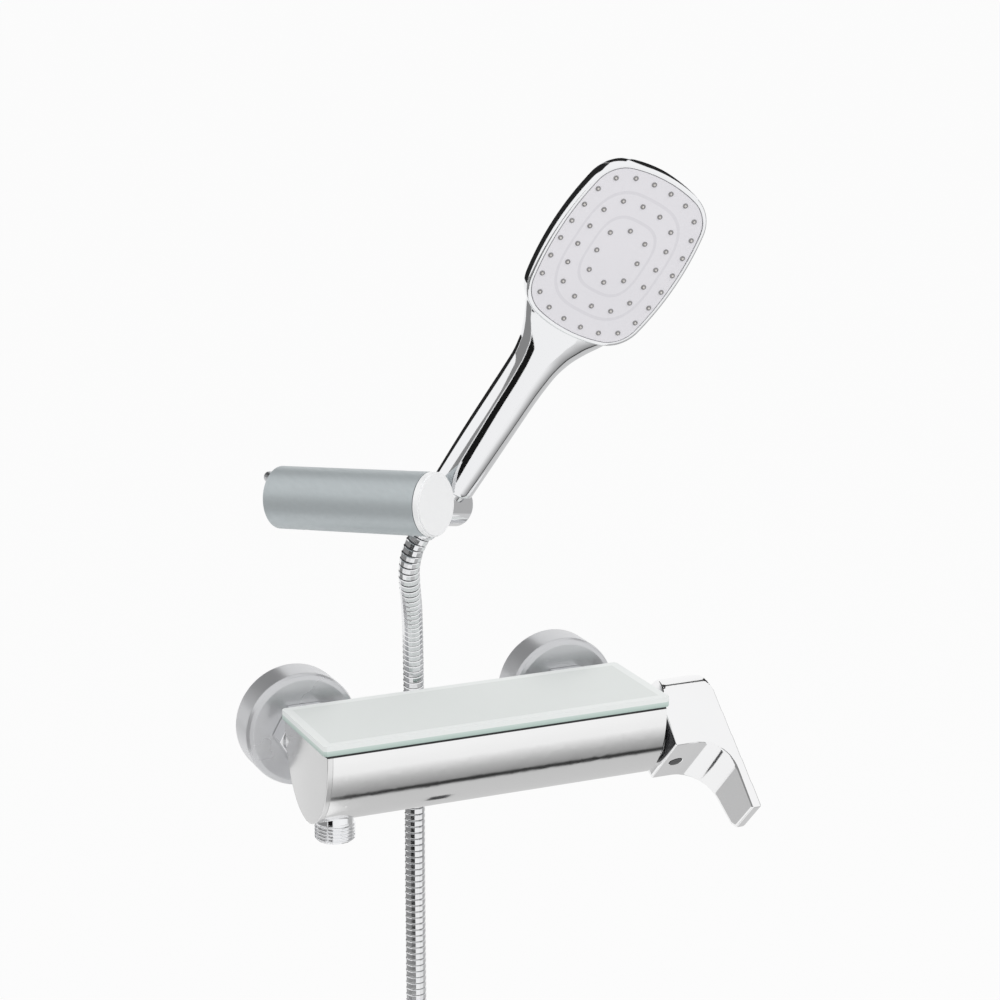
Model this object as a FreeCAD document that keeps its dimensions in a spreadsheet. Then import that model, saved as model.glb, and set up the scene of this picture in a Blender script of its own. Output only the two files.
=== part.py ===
import FreeCAD, Part
import math
import os
import re
import Sketcher

Vector = FreeCAD.Vector
Rotation = FreeCAD.Rotation
doc = FreeCAD.newDocument("shower_set")
sheet = doc.addObject("Spreadsheet::Sheet", "Sizes")

# Driving sizes in millimetres and degrees
sizes = {
    "overrun": 1,
    # mixer body, a half oval prism under a glass shelf
    "inlet_margin": 18.8,
    "body_shift": 4,
    "body_length": 187.6,
    "body_half_width": 31.8,
    "body_depth": 44,
    "body_back_out": 33,
    "shelf_level": 12,
    "end_plate_thick": 3,
    "gasket_thick": 1.2,
    "gasket_inset": 0.3,
    "glass_overhang": 1.7,
    "glass_margin": 0.2,
    "glass_thick": 5.2,
    "glass_corner": 1.5,
    "gallery_radius": 4.5,
    "hot_gallery_out": 48,
    "mixed_gallery_drop": 14,
    # wall unions, nuts and inlet tails
    "union_thread_radius": 10.48,
    "union_thread_depth": 16,
    "union_collar_radius": 13,
    "union_collar_out": 14,
    "union_end_radius": 13.2,
    "union_end_out": 25,
    "union_bore": 8,
    "washer_end_out": 27.5,
    "washer_radius": 12.8,
    "tail_collar_radius": 12.9,
    "tail_collar_out": 30.4,
    "tail_neck_radius": 10.8,
    "tail_neck_out": 32.8,
    "tail_thread_radius": 10.2,
    "tail_clear": 1.8,
    "tail_bore": 7.5,
    "tail_hole": 10.3,
    "nut_flats": 30,
    "nut_start_out": 20.4,
    "nut_end_out": 32.2,
    "nut_bore": 13.35,
    "nut_bore_out": 30.5,
    "nut_lip": 11.1,
    "flange_radius": 30.5,
    "flange_depth": 20,
    "flange_wall": 1.5,
    "flange_round": 3,
    "round_share": 0.293,
    "flange_hole": 13.4,
    # outlet
    "outlet_shank": 9.5,
    "outlet_hole": 9.6,
    "outlet_top": 18,
    "outlet_standoff": 1.5,
    "outlet_thread": 10.48,
    "outlet_thread_length": 9.7,
    "outlet_bore": 7,
    "thread_lead": 0.8,
    # cartridge
    "lever_drop": 8,
    "cartridge_bore": 18,
    "cartridge_floor": 55,
    "seal_radius": 4,
    "seal_bore": 2.4,
    "seal_circle": 9,
    "seal_start": 55.2,
    "housing_start": 57,
    "housing_floor": 61,
    "housing_radius": 17.4,
    "housing_bore": 15.6,
    "housing_ring": 88,
    "housing_end": 91,
    "housing_mouth": 11,
    "fixed_disc_start": 61.3,
    "fixed_disc_radius": 14.5,
    "disc_thick": 4,
    "moving_disc_start": 65.6,
    "moving_disc_radius": 11,
    "carrier_radius": 12,
    "carrier_thick": 3.9,
    "carrier_hole": 4.6,
    "bush_start": 76,
    "bush_length": 10,
    "bush_radius": 15.2,
    "bush_slot_width": 8.8,
    "bush_slot_length": 15,
    "pin_place": 82,
    "pin_radius": 1.5,
    "pin_hole": 1.6,
    "pin_swing_hole": 1.85,
    "pin_length": 28,
    "spindle_foot": 70.4,
    "spindle_foot_radius": 3.2,
    "spindle_side": 8,
    "spindle_end": 117,
    "retaining_radius": 17.8,
    "retaining_bore": 12.5,
    "retaining_start": 91.1,
    "retaining_end": 93.6,
    "cover_place": 93.8,
    "cover_radius": 20.4,
    "cover_bore": 14,
    "cover_length": 4.5,
    "cover_round": 1,
    # lever
    "lever_angle": 45,
    "lever_start": 99.5,
    "lever_radius": 23.3,
    "lever_flat": 22.5,
    "lever_tip": 64.5,
    "lever_tip_side": 3,
    "lever_tip_corner": 60,
    "lever_tip_low": 7,
    "lever_tangent_reach": 6.4,
    "lever_relief": 9.5,
    "lever_neck_end": 111,
    "lever_throat_x": 129.5,
    "lever_throat_l": 41.8,
    "lever_throat_radius": 18.5,
    "lever_inner_x": 129.8,
    "lever_outer_top_x": 131.8,
    "lever_outer_tip_x": 135.2,
    "lever_corner": 8,
    "lever_cavity_radius": 18,
    "lever_cavity_depth": 5,
    "lever_hub_radius": 9,
    "lever_socket": 8.3,
    "lever_socket_end": 117.3,
    "handle_screw_place": 107.6,
    "handle_screw_radius": 2.5,
    "handle_screw_hole": 2.6,
    "handle_screw_start": 4.2,
    "handle_screw_end": 15,
    "screw_cover_radius": 3.5,
    "screw_cover_hole": 3.55,
    "screw_cover_depth": 3,
    # wall bracket
    "ball_x": -75.6,
    "ball_y": -24.4,
    "ball_z": 126.1,
    "bracket_turn_angle": 34,
    "bracket_dip_angle": -5.5,
    "bracket_roll_angle": 13,
    "stud_thread_radius": 3,
    "stud_thread_depth": 25,
    "stud_base_radius": 7.5,
    "stud_base_thick": 3.5,
    "stud_neck": 3.2,
    "ball_radius": 8,
    "ball_seat": 8.12,
    "sleeve_radius": 16,
    "sleeve_bore": 13.2,
    "sleeve_back": 12,
    "sleeve_front": 79,
    "cap_groove": 0.5,
    "cap_front": 83,
    "cap_spigot_radius": 13,
    "cap_spigot_back": 75,
    "cap_round": 0.8,
    "cup_radius": 13,
    "cup_start": 0.2,
    "cup_depth": 11,
    "ring_start": 0.3,
    "ring_end": 9,
    "ring_lip": 7.1,
    "ring_lip_back": 3.76,
    "ring_mouth": 10.7,
    "lock_screw_radius": 2.5,
    "lock_screw_hole": 2.6,
    "lock_screw_out": 5,
    "lock_screw_end": 15.8,
    # holder
    "axle_out": 66,
    "holder_side": 29,
    "bush_outer": 7,
    "bush_hole": 7.05,
    "bush_inner": 4.85,
    "bush_inner_end": 9,
    "bush_outer_end": 14.2,
    "holder_lean_angle": 36.2,
    "holder_radius": 11.2,
    "holder_near": 12.6,
    "holder_far": 15.5,
    "holder_round": 3,
    "axle_radius": 4.5,
    "axle_length": 7.6,
    "axle_washer_radius": 8.2,
    "axle_washer_thick": 1.5,
    "axle_screw_head": 4,
    "axle_screw_head_length": 3.5,
    "axle_screw_radius": 2,
    "axle_screw_hole": 2.05,
    "axle_screw_length": 7,
    "cone_half": 11.2,
    "cone_bore_top": 8.4,
    "cone_bore_low": 7.4,
    "hose_slot": 12.5,
    # handset
    "handset_turn_angle": -38,
    "spigot_half": 11,
    "spigot_top": 8.1,
    "spigot_low": 7.1,
    "stub_radius": 4.7,
    "stub_end": 14.5,
    "stub_bore": 3,
    "handle_start": 11.6,
    "handle_bottom_radius": 11,
    "handle_low_z": 40,
    "handle_low_back": 2,
    "handle_low_wide": 11.8,
    "handle_low_deep": 10.6,
    "handle_mid_z": 70,
    "handle_mid_back": 3,
    "handle_mid_wide": 11.8,
    "handle_mid_deep": 10.2,
    "handle_high_z": 90,
    "handle_high_back": 1.5,
    "handle_high_wide": 12.6,
    "handle_high_deep": 9.4,
    "handle_flare_z": 105,
    "handle_flare_back": -2,
    "handle_flare_wide": 18,
    "handle_flare_deep": 8.2,
    "handle_end_z": 118,
    "handle_end_back": -4.5,
    "handle_end_wide": 24.4,
    "handle_end_deep": 6.4,
    "head_width": 70,
    "head_low": 112,
    "head_top": 204,
    "head_front": 11,
    "head_back": 1.5,
    "head_corner": 19,
    "head_side_radius": 150,
    "head_end_radius": 72,
    "head_back_round": 5,
    "head_front_round": 1.2,
    "face_inset": 2.2,
    "face_gap": 0.25,
    "face_pocket": 2.4,
    "face_thick": 2.2,
    "nozzle_base": 1.2,
    "nozzle_tip": 0.8,
    "nozzle_height": 0.9,
    # hose ends
    "upper_nut_top": 11.3,
    "upper_nut_low": 17,
    "upper_nut_radius": 6.9,
    "upper_nut_bore": 5,
    "upper_washer_top": 14.7,
    "upper_washer_low": 15.8,
    "upper_ferrule_top": 15.9,
    "upper_ferrule_radius": 4.8,
    "upper_flange_top": 17.1,
    "upper_flange_radius": 6.4,
    "hose_start": 18.3,
    "hose_start_gap": 0.1,
    "hose_lead": 13.5,
    # hose
    "hose_radius": 5.5,
    "hose_valley": 4.95,
    "hose_bore": 3.5,
    # coil
    "coil_radius": 55,
    "coil_pitch": 12,
    "coil_level": -252,
    "coil_tail": 75,
    "tie_clear": 0.4,
    "tie_thick": 1.2,
    "tie_width": 8,
    # lower hose end
    "end_ferrule_radius": 6.4,
    "end_ferrule_length": 4.5,
    "end_flange_radius": 9.8,
    "end_flange_low": 6.5,
    "end_nut_flats": 24,
    "end_nut_top": 2,
    "end_nut_lip_low": 4.2,
    "end_nut_low": 17,
    "end_nut_lip": 6.8,
    "end_nut_relief": 10.6,
    "end_nut_thread_top": 9.3,
    "end_nut_bore": 10.3,
    "end_washer_top": 6.7,
    "end_washer_low": 8.7,
    "end_washer_radius": 9.6,
    "end_washer_bore": 5,
}
# Sizes that follow from the ones above
followers = {
    "inlet_spacing": "body_length - inlet_margin * 2",
    "body_out": "body_back_out + body_half_width",
    "glass_length": "body_length + glass_overhang * 2",
    "glass_width": "body_half_width * 2 + glass_margin * 2",
    "tail_end_out": "body_out - cartridge_bore - tail_clear",
    "outlet_shoulder": "body_depth - shelf_level + outlet_standoff",
    "outlet_end": "outlet_shoulder + outlet_thread_length",
}
# Points of the hose from below the handset down to the start of the coil
hoseRoute = [
    (-32.2, -47.9, 86.6), (-32.4, -41.9, 74.0), (-29.3, -35.3, 61.4), (-20.9, -26.3, 45.7),
    (-14.4, -18.6, 23.0), (-11.9, -16.2, -8.0), (-11.2, -16.2, -46.0), (-11.6, -16.2, -92.0),
    (-11.8, -16.2, -142.0), (-11.8, -16.2, -192.0),
]
splitCount = 4
reachShare = 0.45
ribShares = (0, 0.12, 0.78, 0.9)
ribCounts = (11, 50)
nozzleCounts = (24, 16, 8)
nozzleShares = (0.86, 0.6, 0.31)
coilTurns = 3

for row, (alias, number) in enumerate(list(sizes.items()) + list(followers.items()), start=1):
    sheet.set("A%d" % row, alias.replace("_", " "))
    sheet.set("B%d" % row, "=" + number if alias in followers else str(number))
    sheet.setAlias("B%d" % row, alias)
doc.recompute()

functionNames = ("sqrt", "tan", "sin", "cos", "deg")


def bound(text):
    def named(match):
        word = match.group(0)
        return word if word in functionNames else "Sizes." + word
    return re.sub(r"[a-z][a-z_]*", named, text)


def size(text):
    return float(sheet.evalExpression(text))


def bind(item, **paths):
    for path, text in paths.items():
        item.setExpression(path.replace("__", "."), bound(text))


turns = {
    "x": Rotation(Vector(0, 1, 0), 90),
    "y": Rotation(Vector(1, 0, 0), -90),
    "-y": Rotation(Vector(1, 0, 0), 90),
    "z": Rotation(),
    "-z": Rotation(Vector(1, 0, 0), 180),
}


def place(item, spot, along="z"):
    item.Placement = FreeCAD.Placement(Vector(), turns[along])
    bind(item, Placement__Base__x=spot[0], Placement__Base__y=spot[1], Placement__Base__z=spot[2])
    return item


centre = ("0", "0", "0")


def cylinder(name, radius, length, spot=centre, along="z"):
    item = doc.addObject("Part::Cylinder", name)
    bind(item, Radius=radius, Height=length)
    return place(item, spot, along)


def cone(name, low, top, length, spot=centre, along="z"):
    item = doc.addObject("Part::Cone", name)
    bind(item, Radius1=low, Radius2=top, Height=length)
    return place(item, spot, along)


def box(name, spans, spot):
    item = doc.addObject("Part::Box", name)
    bind(item, Length=spans[0], Width=spans[1], Height=spans[2])
    return place(item, spot)


def sphere(name, radius, spot=centre):
    item = doc.addObject("Part::Sphere", name)
    bind(item, Radius=radius)
    return place(item, spot)


def hexagon(name, flats, length, spot, along):
    item = doc.addObject("Part::Prism", name)
    item.Polygon = 6
    bind(item, Circumradius=flats + " / sqrt(3)", Height=length)
    return place(item, spot, along)


def fuse(name, *items):
    item = doc.addObject("Part::MultiFuse", name)
    item.Shapes = list(items)
    item.Refine = True
    return item


def cut(name, base, *tools):
    item = doc.addObject("Part::Cut", name)
    item.Base = base
    item.Tool = tools[0] if len(tools) == 1 else fuse(name + "_tools", *tools)
    return item


def common(name, first, second):
    item = doc.addObject("Part::MultiCommon", name)
    item.Shapes = [first, second]
    return item


def whole(name, single):
    item = doc.addObject("Part::Compound", name)
    item.Links = [single]
    return item


def coded(name, shape):
    item = doc.addObject("Part::Feature", name)
    item.Shape = shape
    return item


def outline(body, role, points):
    sketch = body.newObject("Sketcher::SketchObject", body.Name + "_outline")
    plane = [part for part in body.Origin.OriginFeatures if part.Role == role][0]
    sketch.AttachmentSupport = [(plane, "")]
    sketch.MapMode = "FlatFace"
    corners = [Vector(size(across), size(up), 0) for across, up in points]
    for index, corner in enumerate(corners):
        sketch.addGeometry(Part.LineSegment(corner, corners[(index + 1) % len(corners)]), False)
    for index in range(len(corners)):
        sketch.addConstraint(Sketcher.Constraint("Coincident", index, 2, (index + 1) % len(corners), 1))
    for index, texts in enumerate(points):
        for kind, text, axis in (("DistanceX", texts[0], -2), ("DistanceY", texts[1], -1)):
            if size(text) == 0:
                sketch.addConstraint(Sketcher.Constraint("PointOnObject", index, 1, axis))
                continue
            number = sketch.addConstraint(Sketcher.Constraint(kind, -1, 1, index, 1, size(text)))
            sketch.setExpression("Constraints[%d]" % number, bound(text))
    return sketch


def turned(name, points, spot=centre, along="z"):
    body = doc.addObject("PartDesign::Body", name)
    sketch = outline(body, "XZ_Plane", points)
    solid = body.newObject("PartDesign::Revolution", name + "_turn")
    solid.Profile = sketch
    solid.ReferenceAxis = (sketch, ["V_Axis"])
    solid.Angle = 360
    sketch.Visibility = False
    return place(body, spot, along)


def padded(name, points, length, spot=centre):
    body = doc.addObject("PartDesign::Body", name)
    sketch = outline(body, "XY_Plane", points)
    solid = body.newObject("PartDesign::Pad", name + "_pad")
    solid.Profile = sketch
    bind(solid, Length=length)
    return place(body, spot)


nodes = {}


def node(name, item, frame=None):
    item.Label = name
    if frame is not None:
        item.Placement = frame
    nodes[name] = item
    return item


# Mixer body: lower half of an oval drawn along the wall
def ovalPrism(name, start, length):
    oval = doc.addObject("Part::Ellipse", name + "_oval")
    bind(oval, MajorRadius="body_depth", MinorRadius="body_half_width")
    place(oval, (start, "-body_out", "shelf_level"), "x")
    prism = doc.addObject("Part::Extrusion", name + "_prism")
    prism.Base = oval
    prism.DirMode = "Normal"
    prism.Solid = True
    bind(prism, LengthFwd=length)
    lower = box(name + "_lower", (length, "body_half_width * 2 + overrun * 2", "body_depth + overrun"),
                (start, "-body_out - body_half_width - overrun", "shelf_level - body_depth - overrun"))
    return common(name, prism, lower)


bodyStart = "body_shift - body_length / 2"
bodyBlock = ovalPrism("body_block", bodyStart + " + end_plate_thick", "body_length - end_plate_thick")
leverPlace = "body_shift + body_length / 2 - cover_place"
leverAxis = (leverPlace, "-body_out", "-lever_drop")
galleryLength = "inlet_spacing / 2 + " + leverPlace + " + cartridge_floor + overrun"
bodyCuts = [
    cylinder("cartridge_space", "cartridge_bore", "cover_place - cartridge_floor + overrun",
             (leverPlace + " + cartridge_floor", "-body_out", "-lever_drop"), "x"),
    cylinder("outlet_space", "outlet_hole", "body_depth - outlet_top + overrun",
             ("-inlet_spacing / 2", "-body_out", "-outlet_top"), "-z"),
    cylinder("mixed_gallery", "gallery_radius", galleryLength,
             ("-inlet_spacing / 2", "-body_out", "-mixed_gallery_drop"), "x"),
    cylinder("hot_gallery", "gallery_radius", galleryLength,
             ("-inlet_spacing / 2", "-hot_gallery_out", "0"), "x"),
]
for side, sign in (("left", "-"), ("right", "")):
    bodyCuts.append(cylinder(side + "_tail_space", "tail_hole", "tail_end_out - tail_collar_out",
                             (sign + "inlet_spacing / 2", "-tail_collar_out", "0"), "-y"))
bodyCuts.append(cylinder("cold_gallery", "gallery_radius", "body_out - tail_end_out + overrun",
                         ("inlet_spacing / 2", "-tail_end_out + overrun", "0"), "-y"))
node("mixer_body", cut("body_cut", bodyBlock, *bodyCuts))
node("end_plate", ovalPrism("end_block", bodyStart, "end_plate_thick"))

# Gasket and glass shelf on the flat top
node("shelf_gasket", box("gasket_pad", ("body_length - gasket_inset * 2",
                                        "body_half_width * 2 - gasket_inset * 2", "gasket_thick"),
                         (bodyStart + " + gasket_inset",
                          "-body_out - body_half_width + gasket_inset", "shelf_level")))
halfLong = "glass_length / 2"
halfWide = "glass_width / 2"
glassOutline = [
    ("-" + halfLong + " + glass_corner", "-" + halfWide), (halfLong + " - glass_corner", "-" + halfWide),
    (halfLong, "-" + halfWide + " + glass_corner"), (halfLong, halfWide + " - glass_corner"),
    (halfLong + " - glass_corner", halfWide), ("-" + halfLong + " + glass_corner", halfWide),
    ("-" + halfLong, halfWide + " - glass_corner"), ("-" + halfLong, "-" + halfWide + " + glass_corner"),
]
node("glass_shelf", padded("glass_plate", glassOutline, "glass_thick",
                           ("body_shift", "-body_out", "shelf_level + gasket_thick")))

# Wall unions with their nuts, washers, tails and flanges
for side, sign in (("left", "-"), ("right", "")):
    spot = (sign + "inlet_spacing / 2", "0", "0")
    node(side + "_union", turned(side + "_union_turn", [
        ("union_bore", "-union_thread_depth"), ("union_thread_radius", "-union_thread_depth"),
        ("union_thread_radius", "0"), ("union_collar_radius", "0"),
        ("union_collar_radius", "union_collar_out"), ("union_end_radius", "union_collar_out"),
        ("union_end_radius", "union_end_out"), ("union_bore", "union_end_out")], spot, "-y"))
    node(side + "_filter_washer", turned(side + "_washer_turn", [
        ("union_bore", "union_end_out"), ("washer_radius", "union_end_out"),
        ("washer_radius", "washer_end_out"), ("union_bore", "washer_end_out")], spot, "-y"))
    node(side + "_inlet_tail", turned(side + "_tail_turn", [
        ("tail_bore", "washer_end_out"), ("tail_collar_radius", "washer_end_out"),
        ("tail_collar_radius", "tail_collar_out"), ("tail_neck_radius", "tail_collar_out"),
        ("tail_neck_radius", "tail_neck_out"), ("tail_thread_radius", "tail_neck_out"),
        ("tail_thread_radius", "tail_end_out"), ("tail_bore", "tail_end_out")], spot, "-y"))
    nutSpot = (sign + "inlet_spacing / 2", "-nut_start_out", "0")
    borSpot = (sign + "inlet_spacing / 2", "-nut_start_out + overrun", "0")
    node(side + "_union_nut", cut(
        side + "_nut_cut",
        hexagon(side + "_nut_block", "nut_flats", "nut_end_out - nut_start_out", nutSpot, "-y"),
        cylinder(side + "_nut_space", "nut_bore", "nut_bore_out - nut_start_out + overrun", borSpot, "-y"),
        cylinder(side + "_nut_mouth", "nut_lip", "nut_end_out - nut_start_out + overrun * 2", borSpot, "-y")))
    node(side + "_flange", turned(side + "_flange_turn", [
        ("flange_hole", "flange_depth"), ("flange_radius - flange_round", "flange_depth"),
        ("flange_radius - flange_round * round_share", "flange_depth - flange_round * round_share"),
        ("flange_radius", "flange_depth - flange_round"), ("flange_radius", "0"),
        ("flange_radius - flange_wall", "0"),
        ("flange_radius - flange_wall", "flange_depth - flange_wall - flange_round"),
        ("flange_radius - flange_wall - flange_round", "flange_depth - flange_wall"),
        ("flange_hole", "flange_depth - flange_wall")], spot, "-y"))

node("outlet_nipple", turned("outlet_turn", [
    ("outlet_bore", "outlet_top"), ("outlet_shank", "outlet_top"), ("outlet_shank", "outlet_shoulder"),
    ("outlet_thread", "outlet_shoulder"), ("outlet_thread", "outlet_end - thread_lead"),
    ("outlet_thread - thread_lead", "outlet_end"), ("outlet_bore", "outlet_end")],
    ("-inlet_spacing / 2", "-body_out", "0"), "-z"))

# Cartridge along the lever axis
node("cartridge_housing", turned("housing_turn", [
    ("0", "housing_start"), ("housing_radius", "housing_start"), ("housing_radius", "housing_end"),
    ("housing_mouth", "housing_end"), ("housing_mouth", "housing_ring"), ("housing_bore", "housing_ring"),
    ("housing_bore", "housing_floor"), ("0", "housing_floor")], leverAxis, "x"))
seals = []
for count, angle in enumerate((90, 210, 330)):
    seal = Part.makeCylinder(size("seal_radius"), size("housing_start - seal_start"))
    seal = seal.cut(Part.makeCylinder(size("seal_bore"), size("housing_start - seal_start")))
    seal.translate(Vector(size("seal_circle"), 0, size("seal_start")))
    seal.rotate(Vector(), Vector(0, 0, 1), angle)
    seals.append(seal)
node("cartridge_seals", place(coded("seal_set", Part.makeCompound(seals)), leverAxis, "x"))
discSpot = (leverPlace + " + fixed_disc_start", "-body_out", "-lever_drop")
node("fixed_disc", cylinder("fixed_disc_plate", "fixed_disc_radius", "disc_thick", discSpot, "x"))
movingSpot = (leverPlace + " + moving_disc_start", "-body_out", "-lever_drop")
node("moving_disc", cylinder("moving_disc_plate", "moving_disc_radius", "disc_thick", movingSpot, "x"))
node("disc_carrier", turned("carrier_turn", [
    ("carrier_hole", "moving_disc_start + disc_thick"), ("carrier_radius", "moving_disc_start + disc_thick"),
    ("carrier_radius", "moving_disc_start + disc_thick + carrier_thick"),
    ("carrier_hole", "moving_disc_start + disc_thick + carrier_thick")], leverAxis, "x"))
node("retaining_nut", turned("retaining_turn", [
    ("retaining_bore", "retaining_start"), ("retaining_radius", "retaining_start"),
    ("retaining_radius", "retaining_end"), ("retaining_bore", "retaining_end")], leverAxis, "x"))
coverEnd = "cover_place + cover_length"
node("cover_ring", turned("cover_turn", [
    ("cover_bore", "cover_place"), ("cover_radius", "cover_place"),
    ("cover_radius", coverEnd + " - cover_round"), ("cover_radius - cover_round", coverEnd),
    ("cover_bore", coverEnd)], leverAxis, "x"))

# Pieces that turn with the lever: local x along the body, local -y along the lever, local z square to both
leverFrame = FreeCAD.Placement(Vector(size(leverPlace), -size("body_out"), -size("lever_drop")),
                               Rotation(Vector(1, 0, 0), size("lever_angle")))
pinHole = cylinder("bush_pin_hole", "pin_hole", "bush_radius * 2 + overrun * 2",
                   ("pin_place", "0", "-bush_radius - overrun"))
bushSlot = box("bush_slot", ("bush_length + overrun * 2", "bush_slot_length", "bush_slot_width"),
               ("bush_start - overrun", "-bush_slot_length / 2", "-bush_slot_width / 2"))
node("spindle_bush", cut("bush_cut", cylinder("bush_block", "bush_radius", "bush_length",
                                              ("bush_start", "0", "0"), "x"), pinHole, bushSlot), leverFrame)
pinBar = cylinder("pin_bar", "pin_radius", "pin_length", ("pin_place", "0", "-pin_length / 2"))
node("lever_pin", whole("pin_whole", pinBar), leverFrame)
spindleBlock = fuse(
    "spindle_block",
    cylinder("spindle_foot_bar", "spindle_foot_radius", "pin_place - spindle_foot",
             ("spindle_foot", "0", "0"), "x"),
    box("spindle_bar", ("spindle_end - pin_place + spindle_side / 2", "spindle_side", "spindle_side"),
        ("pin_place - spindle_side / 2", "-spindle_side / 2", "-spindle_side / 2")))
node("spindle", cut("spindle_cut", spindleBlock,
                    cylinder("spindle_hole", "pin_swing_hole", "spindle_side + overrun * 2",
                             ("pin_place", "0", "-spindle_side / 2 - overrun"))), leverFrame)


# Lever handle: a seven seen from the side, cut to a drop-shaped section along the body
def chain(legs):
    edges = []
    for leg in legs:
        points = [Vector(*point) for point in leg]
        edges.append(Part.LineSegment(*points).toShape() if len(points) == 2 else Part.Arc(*points).toShape())
    return Part.Face(Part.Wire(edges))


radius = size("lever_radius")
start = size("lever_start")
relief = size("lever_relief")
outerTop = size("lever_outer_top_x")
corner = size("lever_corner")
tip = size("lever_tip")
throat = (size("lever_throat_x"), -size("lever_throat_l"), 0)
neckEnd = (size("lever_neck_end"), -radius, 0)
bend = size("lever_throat_radius")
bendShare = math.sqrt(0.5)
bendMid = (neckEnd[0] + bend * bendShare, -radius - bend * (1 - bendShare), 0)
innerTip = (size("lever_inner_x"), -tip, 0)
outerTip = (size("lever_outer_tip_x"), -tip, 0)
cornerStart = (outerTop, radius - corner, 0)
cornerMid = (outerTop - corner * (1 - bendShare), radius - corner * (1 - bendShare), 0)
cornerEnd = (outerTop - corner, radius, 0)
sideFace = chain([
    [(start, 0, 0), (start, -radius, 0)], [(start, -radius, 0), neckEnd], [neckEnd, bendMid, throat],
    [throat, innerTip], [innerTip, outerTip], [outerTip, cornerStart], [cornerStart, cornerMid, cornerEnd],
    [cornerEnd, (start + relief, radius, 0)], [(start + relief, radius, 0), (start, 0, 0)]])
sideFace.translate(Vector(0, 0, -radius - size("overrun")))
sideSolid = sideFace.extrude(Vector(0, 0, radius * 2 + size("overrun * 2")))
flat = size("lever_flat")
flatStart = math.sqrt(radius ** 2 - flat ** 2)
tangent = size("lever_tangent_reach")
tangentLow = math.sqrt(radius ** 2 - tangent ** 2)
long = start - size("overrun")
endFace = chain([
    [(long, flatStart, flat), (long, -tip, flat)],
    [(long, -tip, flat), (long, -tip, -size("lever_tip_side"))],
    [(long, -tip, -size("lever_tip_side")), (long, -size("lever_tip_corner"), -size("lever_tip_low"))],
    [(long, -size("lever_tip_corner"), -size("lever_tip_low")), (long, -tangent, -tangentLow)],
    [(long, -tangent, -tangentLow), (long, radius, 0), (long, flatStart, flat)]])
endSolid = endFace.extrude(Vector(outerTip[0] - long + size("overrun"), 0, 0))
leverBlock = coded("lever_block", sideSolid.common(endSolid))
cavity = cut("lever_cavity",
             cylinder("cavity_block", "lever_cavity_radius", "lever_cavity_depth + overrun",
                      ("lever_start - overrun", "0", "0"), "x"),
             cylinder("hub_block", "lever_hub_radius", "lever_cavity_depth + overrun",
                      ("lever_start - overrun", "0", "0"), "x"))
socket = box("lever_socket_block",
             ("lever_socket_end - lever_start + overrun", "lever_socket", "lever_socket"),
             ("lever_start - overrun", "-lever_socket / 2", "-lever_socket / 2"))
screwSpace = cylinder("handle_screw_space", "handle_screw_hole", "lever_radius",
                      ("handle_screw_place", "0", "0"), "-y")
coverSpace = cylinder("screw_cover_space", "screw_cover_hole", "screw_cover_depth + overrun",
                      ("handle_screw_place", "-lever_radius + screw_cover_depth", "0"), "-y")
node("lever_handle", cut("lever_cut", leverBlock, cavity, socket, screwSpace, coverSpace), leverFrame)
node("handle_screw", whole("handle_screw_whole", cylinder(
    "handle_screw_bar", "handle_screw_radius", "handle_screw_end - handle_screw_start",
    ("handle_screw_place", "-handle_screw_start", "0"), "-y")), leverFrame)
node("screw_cover", whole("screw_cover_whole", cylinder(
    "screw_cover_plug", "screw_cover_radius", "screw_cover_depth",
    ("handle_screw_place", "-lever_radius + screw_cover_depth", "0"), "-y")), leverFrame)

# Wall stud with its ball, square to the wall
node("wall_stud", fuse(
    "stud_whole",
    cylinder("stud_thread", "stud_thread_radius", "stud_thread_depth", ("ball_x", "0", "ball_z"), "y"),
    cylinder("stud_base", "stud_base_radius", "stud_base_thick", ("ball_x", "0", "ball_z"), "-y"),
    cylinder("stud_neck_bar", "stud_neck", "-ball_y", ("ball_x", "0", "ball_z"), "-y"),
    sphere("stud_ball", "ball_radius", ("ball_x", "ball_y", "ball_z"))))

# Bracket pieces: local -y out along the sleeve, origin at the ball
bracketTurn = (Rotation(Vector(0, 0, 1), size("bracket_turn_angle"))
               * Rotation(Vector(1, 0, 0), size("bracket_dip_angle"))
               * Rotation(Vector(0, 1, 0), size("bracket_roll_angle")))
ballSpot = Vector(size("ball_x"), size("ball_y"), size("ball_z"))
bracketFrame = FreeCAD.Placement(ballSpot, bracketTurn)
node("ball_cup", cut("cup_cut", cylinder("cup_block", "cup_radius", "cup_depth - cup_start",
                                         ("0", "-cup_start", "0"), "-y"),
                     sphere("cup_seat", "ball_seat")), bracketFrame)
node("ball_lock_ring", cut(
    "ring_cut", cylinder("ring_block", "cup_radius", "ring_end - ring_start", ("0", "ring_start", "0"), "y"),
    sphere("ring_seat", "ball_seat"),
    cone("ring_mouth_cone", "ring_lip", "ring_mouth", "ring_end - ring_lip_back + overrun",
         ("0", "ring_lip_back", "0"), "y")), bracketFrame)
sleeveLength = "sleeve_back + sleeve_front"
node("bracket_sleeve", cut(
    "sleeve_cut", cylinder("sleeve_block", "sleeve_radius", sleeveLength, ("0", "sleeve_back", "0"), "-y"),
    cylinder("sleeve_space", "sleeve_bore", sleeveLength + " + overrun * 2",
             ("0", "sleeve_back + overrun", "0"), "-y"),
    cylinder("axle_hole", "bush_hole", "sleeve_radius + overrun", ("0", "-axle_out", "0"), "x"),
    cylinder("lock_hole", "lock_screw_hole", "sleeve_radius + overrun", ("0", "-lock_screw_out", "0"), "-z")),
    bracketFrame)
node("ball_lock_screw", whole("lock_whole", cylinder(
    "lock_bar", "lock_screw_radius", "lock_screw_end - sleeve_bore",
    ("0", "-lock_screw_out", "-sleeve_bore"), "-z")), bracketFrame)
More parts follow.
